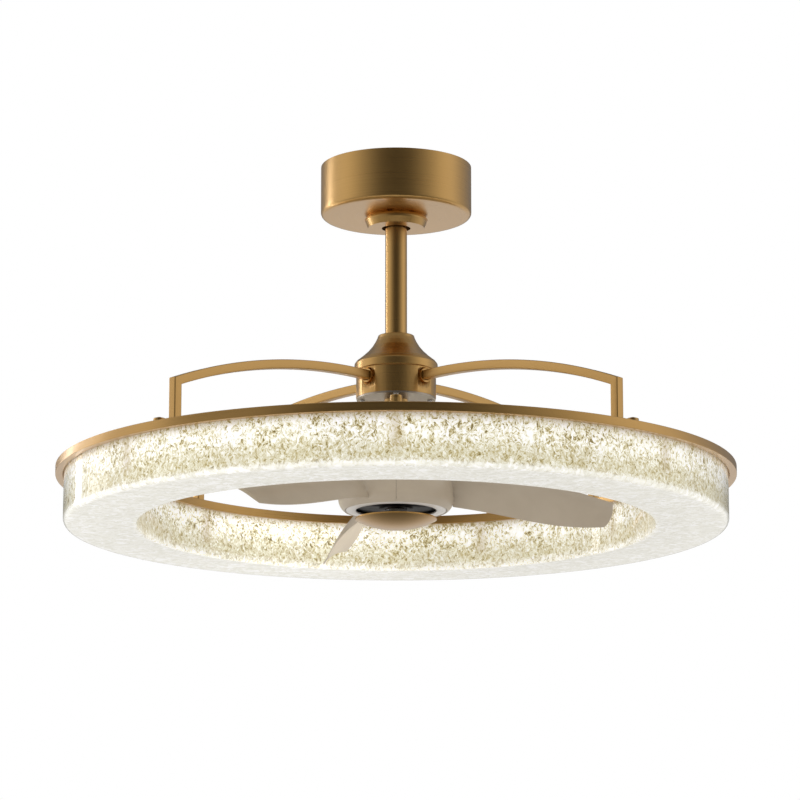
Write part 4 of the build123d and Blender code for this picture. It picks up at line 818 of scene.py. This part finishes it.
def studio_world():
    """White to the camera and in metal and glass; a plain even light for matt surfaces."""
    world = bpy.data.worlds.new("studio")
    bpy.context.scene.world = world
    world.use_nodes = True
    world.cycles.sampling_method = "NONE"
    tree = world.node_tree
    tree.nodes.clear()
    rays = node(tree, "ShaderNodeLightPath")
    seen = maths(tree, "MAXIMUM", rays.outputs["Is Camera Ray"], rays.outputs["Is Transmission Ray"])
    seen = maths(tree, "MAXIMUM", seen, rays.outputs["Is Glossy Ray"])
    even = node(tree, "ShaderNodeBackground", Color=(1.0, 0.985, 0.96, 1), Strength=0.88)
    plain = node(tree, "ShaderNodeBackground", Color=(1, 1, 1, 1), Strength=1.0)
    either = tree.nodes.new("ShaderNodeMixShader")
    tree.links.new(seen, either.inputs[0])
    tree.links.new(even.outputs[0], either.inputs[1])
    tree.links.new(plain.outputs[0], either.inputs[2])
    output = tree.nodes.new("ShaderNodeOutputWorld")
    tree.links.new(either.outputs[0], output.inputs["Surface"])


def warm_grey(level):
    """Grey of one level, very slightly warm."""
    return (level, level * 0.985, level * 0.96)


def warm_stops(levels):
    """Colour stops from (place, level) pairs."""
    return [(place, warm_grey(level)) for place, level in levels]


def reflected_card(name, points, faces, level, strength=1.0):
    """Stage card that only reflections see. Level is a plain level, or a function that makes the colour
    socket in the card's node tree."""
    mesh = bpy.data.meshes.new(name)
    mesh.from_pydata(points.tolist(), [], faces.tolist())
    finish = bpy.data.materials.new(name)
    finish.use_nodes = True
    finish.cycles.emission_sampling = "NONE"
    tree = finish.node_tree
    tree.nodes.clear()
    glow = node(tree, "ShaderNodeEmission", Strength=strength)
    if callable(level):
        tree.links.new(level(tree), glow.inputs["Color"])
    else:
        glow.inputs["Color"].default_value = (*warm_grey(level), 1)
    output = tree.nodes.new("ShaderNodeOutputMaterial")
    tree.links.new(glow.outputs[0], output.inputs["Surface"])
    mesh.materials.append(finish)
    card = bpy.data.objects.new(name, mesh)
    bpy.context.scene.collection.objects.link(card)
    card.visible_camera = False
    card.visible_diffuse = False
    card.visible_transmission = False
    card.visible_shadow = False


def wall_level(tree):
    """By the angle round the axis: dark before the object, brightest at its sides, dim behind it. Below the
    object the wall is dark before it and pale behind it, like a bench that catches the light."""
    across, away, up = axes_of(tree, object_place(tree))
    side = maths(tree, "ABSOLUTE", across)
    front = maths(tree, "MULTIPLY", away, -1.0)
    turn = maths(tree, "DIVIDE", maths(tree, "ARCTAN2", side, front), math.pi)
    upper = ramp(tree, turn, warm_stops([
        (0.00, 0.07), (0.12, 0.10), (0.20, 0.24), (0.30, 0.46), (0.41, 0.78),
        (0.52, 0.84), (0.62, 0.52), (0.74, 0.32), (0.87, 0.20), (1.00, 0.14),
    ]))
    lower = ramp(tree, turn, warm_stops([
        (0.00, 0.05), (0.28, 0.09), (0.45, 0.40), (0.62, 0.66), (1.00, 0.70),
    ]))
    height = node(tree, "ShaderNodeMapRange", From_Min=-1.1, From_Max=-0.5)
    tree.links.new(up, height.inputs["Value"])
    return blended(tree, height.outputs["Result"], lower, upper)


def low_disc_level(tree):
    """By the distance from the axis: dark in the middle, pale at the rim."""
    length = node(tree, "ShaderNodeVectorMath", operation="LENGTH")
    tree.links.new(scaled(tree, object_place(tree), (1.0, 1.0, 0.0)), length.inputs[0])
    stops = warm_stops([(0.0, 0.08), (0.35, 0.16), (0.7, 0.42), (1.0, 0.60)])
    return ramp(tree, length.outputs["Value"], stops)


def circle(radius, height, count):
    """Points of a level circle round the axis."""
    angles = np.linspace(0, 2 * math.pi, count, endpoint=False)
    return np.stack([radius * np.cos(angles), radius * np.sin(angles), height + 0 * angles], axis=1)


# Cards: a round wall with a ceiling, a disc under the fan, a tall bright panel at the rear left, and a small
# card close to the ring's left front
card_sides = 96
disc_face = np.arange(card_sides)[None]
wall_radius, wall_bottom, wall_top = 7.0, -4.4, 6.0
wall_points = np.concatenate([circle(wall_radius, height, card_sides) for height in (wall_bottom, wall_top)])
reflected_card("studio_wall", wall_points, grid_faces(2, card_sides, False, True), wall_level)
reflected_card("ceiling_card", circle(wall_radius, wall_top, card_sides), disc_face, 0.34)
reflected_card("floor_card", circle(1.0, -1.0, card_sides), disc_face, low_disc_level)

panel_columns = 9
panel_radius, panel_bottom, panel_height = 6.8, -1.0, 6.0
panel_turns = np.pi * np.linspace(0.62, 0.71, panel_columns)
panel_foot = np.stack([
    -panel_radius * np.sin(panel_turns),
    -panel_radius * np.cos(panel_turns),
    panel_bottom + 0 * panel_turns,
], axis=1)
panel_points = np.concatenate([panel_foot, panel_foot + [0.0, 0.0, panel_height]])
reflected_card("left_panel", panel_points, grid_faces(2, panel_columns, False, False), 1.0, strength=1.4)
reflected_card("left_low_card", np.array([
    (-0.70, -0.38, -0.45),
    (-0.55, -0.85, -0.45),
    (-0.55, -0.85, -0.08),
    (-0.70, -0.38, -0.08),
]), np.array([[0, 1, 2, 3]]), 0.36)
studio_world()


def softbox(name, place, aim, width, height, power, glossy=False, spread=math.pi):
    """Area light at a place, turned to face the aim. Only a glossy one shows in reflections."""
    lamp = bpy.data.lights.new(name, "AREA")
    lamp.shape = "RECTANGLE"
    lamp.size = width
    lamp.size_y = height
    lamp.energy = power
    lamp.spread = spread
    obj = bpy.data.objects.new(name, lamp)
    bpy.context.scene.collection.objects.link(obj)
    toward = Vector(aim) - Vector(place)
    obj.rotation_euler = toward.to_track_quat("-Z", "Y").to_euler()
    obj.location = place
    obj.visible_camera = False
    obj.visible_glossy = glossy


# Lamps: the first two light the whole fan from both sides, the strip draws the streak on the acrylic's left
# end, the next lifts the ring's left underside, and the last, a narrow beam, lifts the far blade
fan_middle = (0.0, 0.0, -0.35)
softbox("key_light", (-1.9, -2.6, 1.0), fan_middle, width=1.6, height=1.6, power=9.0)
softbox("rear_low_light", (2.6, 1.4, -2.2), fan_middle, width=1.4, height=1.4, power=12.0)
softbox("strip_light", (-0.857, 0.455, -0.25), (-0.2, 0.0, -0.25), width=0.10, height=0.9, power=1.2,
        glossy=True)
softbox("left_low_light", (-0.75, -0.35, -0.95), (-0.35, -0.1, -0.45), width=0.4, height=0.4, power=0.8)
softbox("blade_light", (0.32, 0.0, -0.85), (-0.05, 0.2, -0.42), width=0.2, height=0.2, power=0.09,
        spread=math.radians(22))

# Camera at the photograph's viewing angle: in front of the fan, below it and looking up
camera_place = (0.0, -4.2, -1.1798)
camera_upward = 0.2100
camera_roll = -0.0011
camera_data = bpy.data.cameras.new("camera")
camera_data.sensor_width = 36.0
camera_data.lens = 163.26
camera_data.clip_end = 100.0
camera = bpy.data.objects.new("camera", camera_data)
bpy.context.scene.collection.objects.link(camera)
camera.location = camera_place
camera.rotation_euler = (math.pi / 2 + camera_upward, 0.0, camera_roll)
bpy.context.scene.camera = camera
bpy.context.scene.view_settings.view_transform = "Standard"
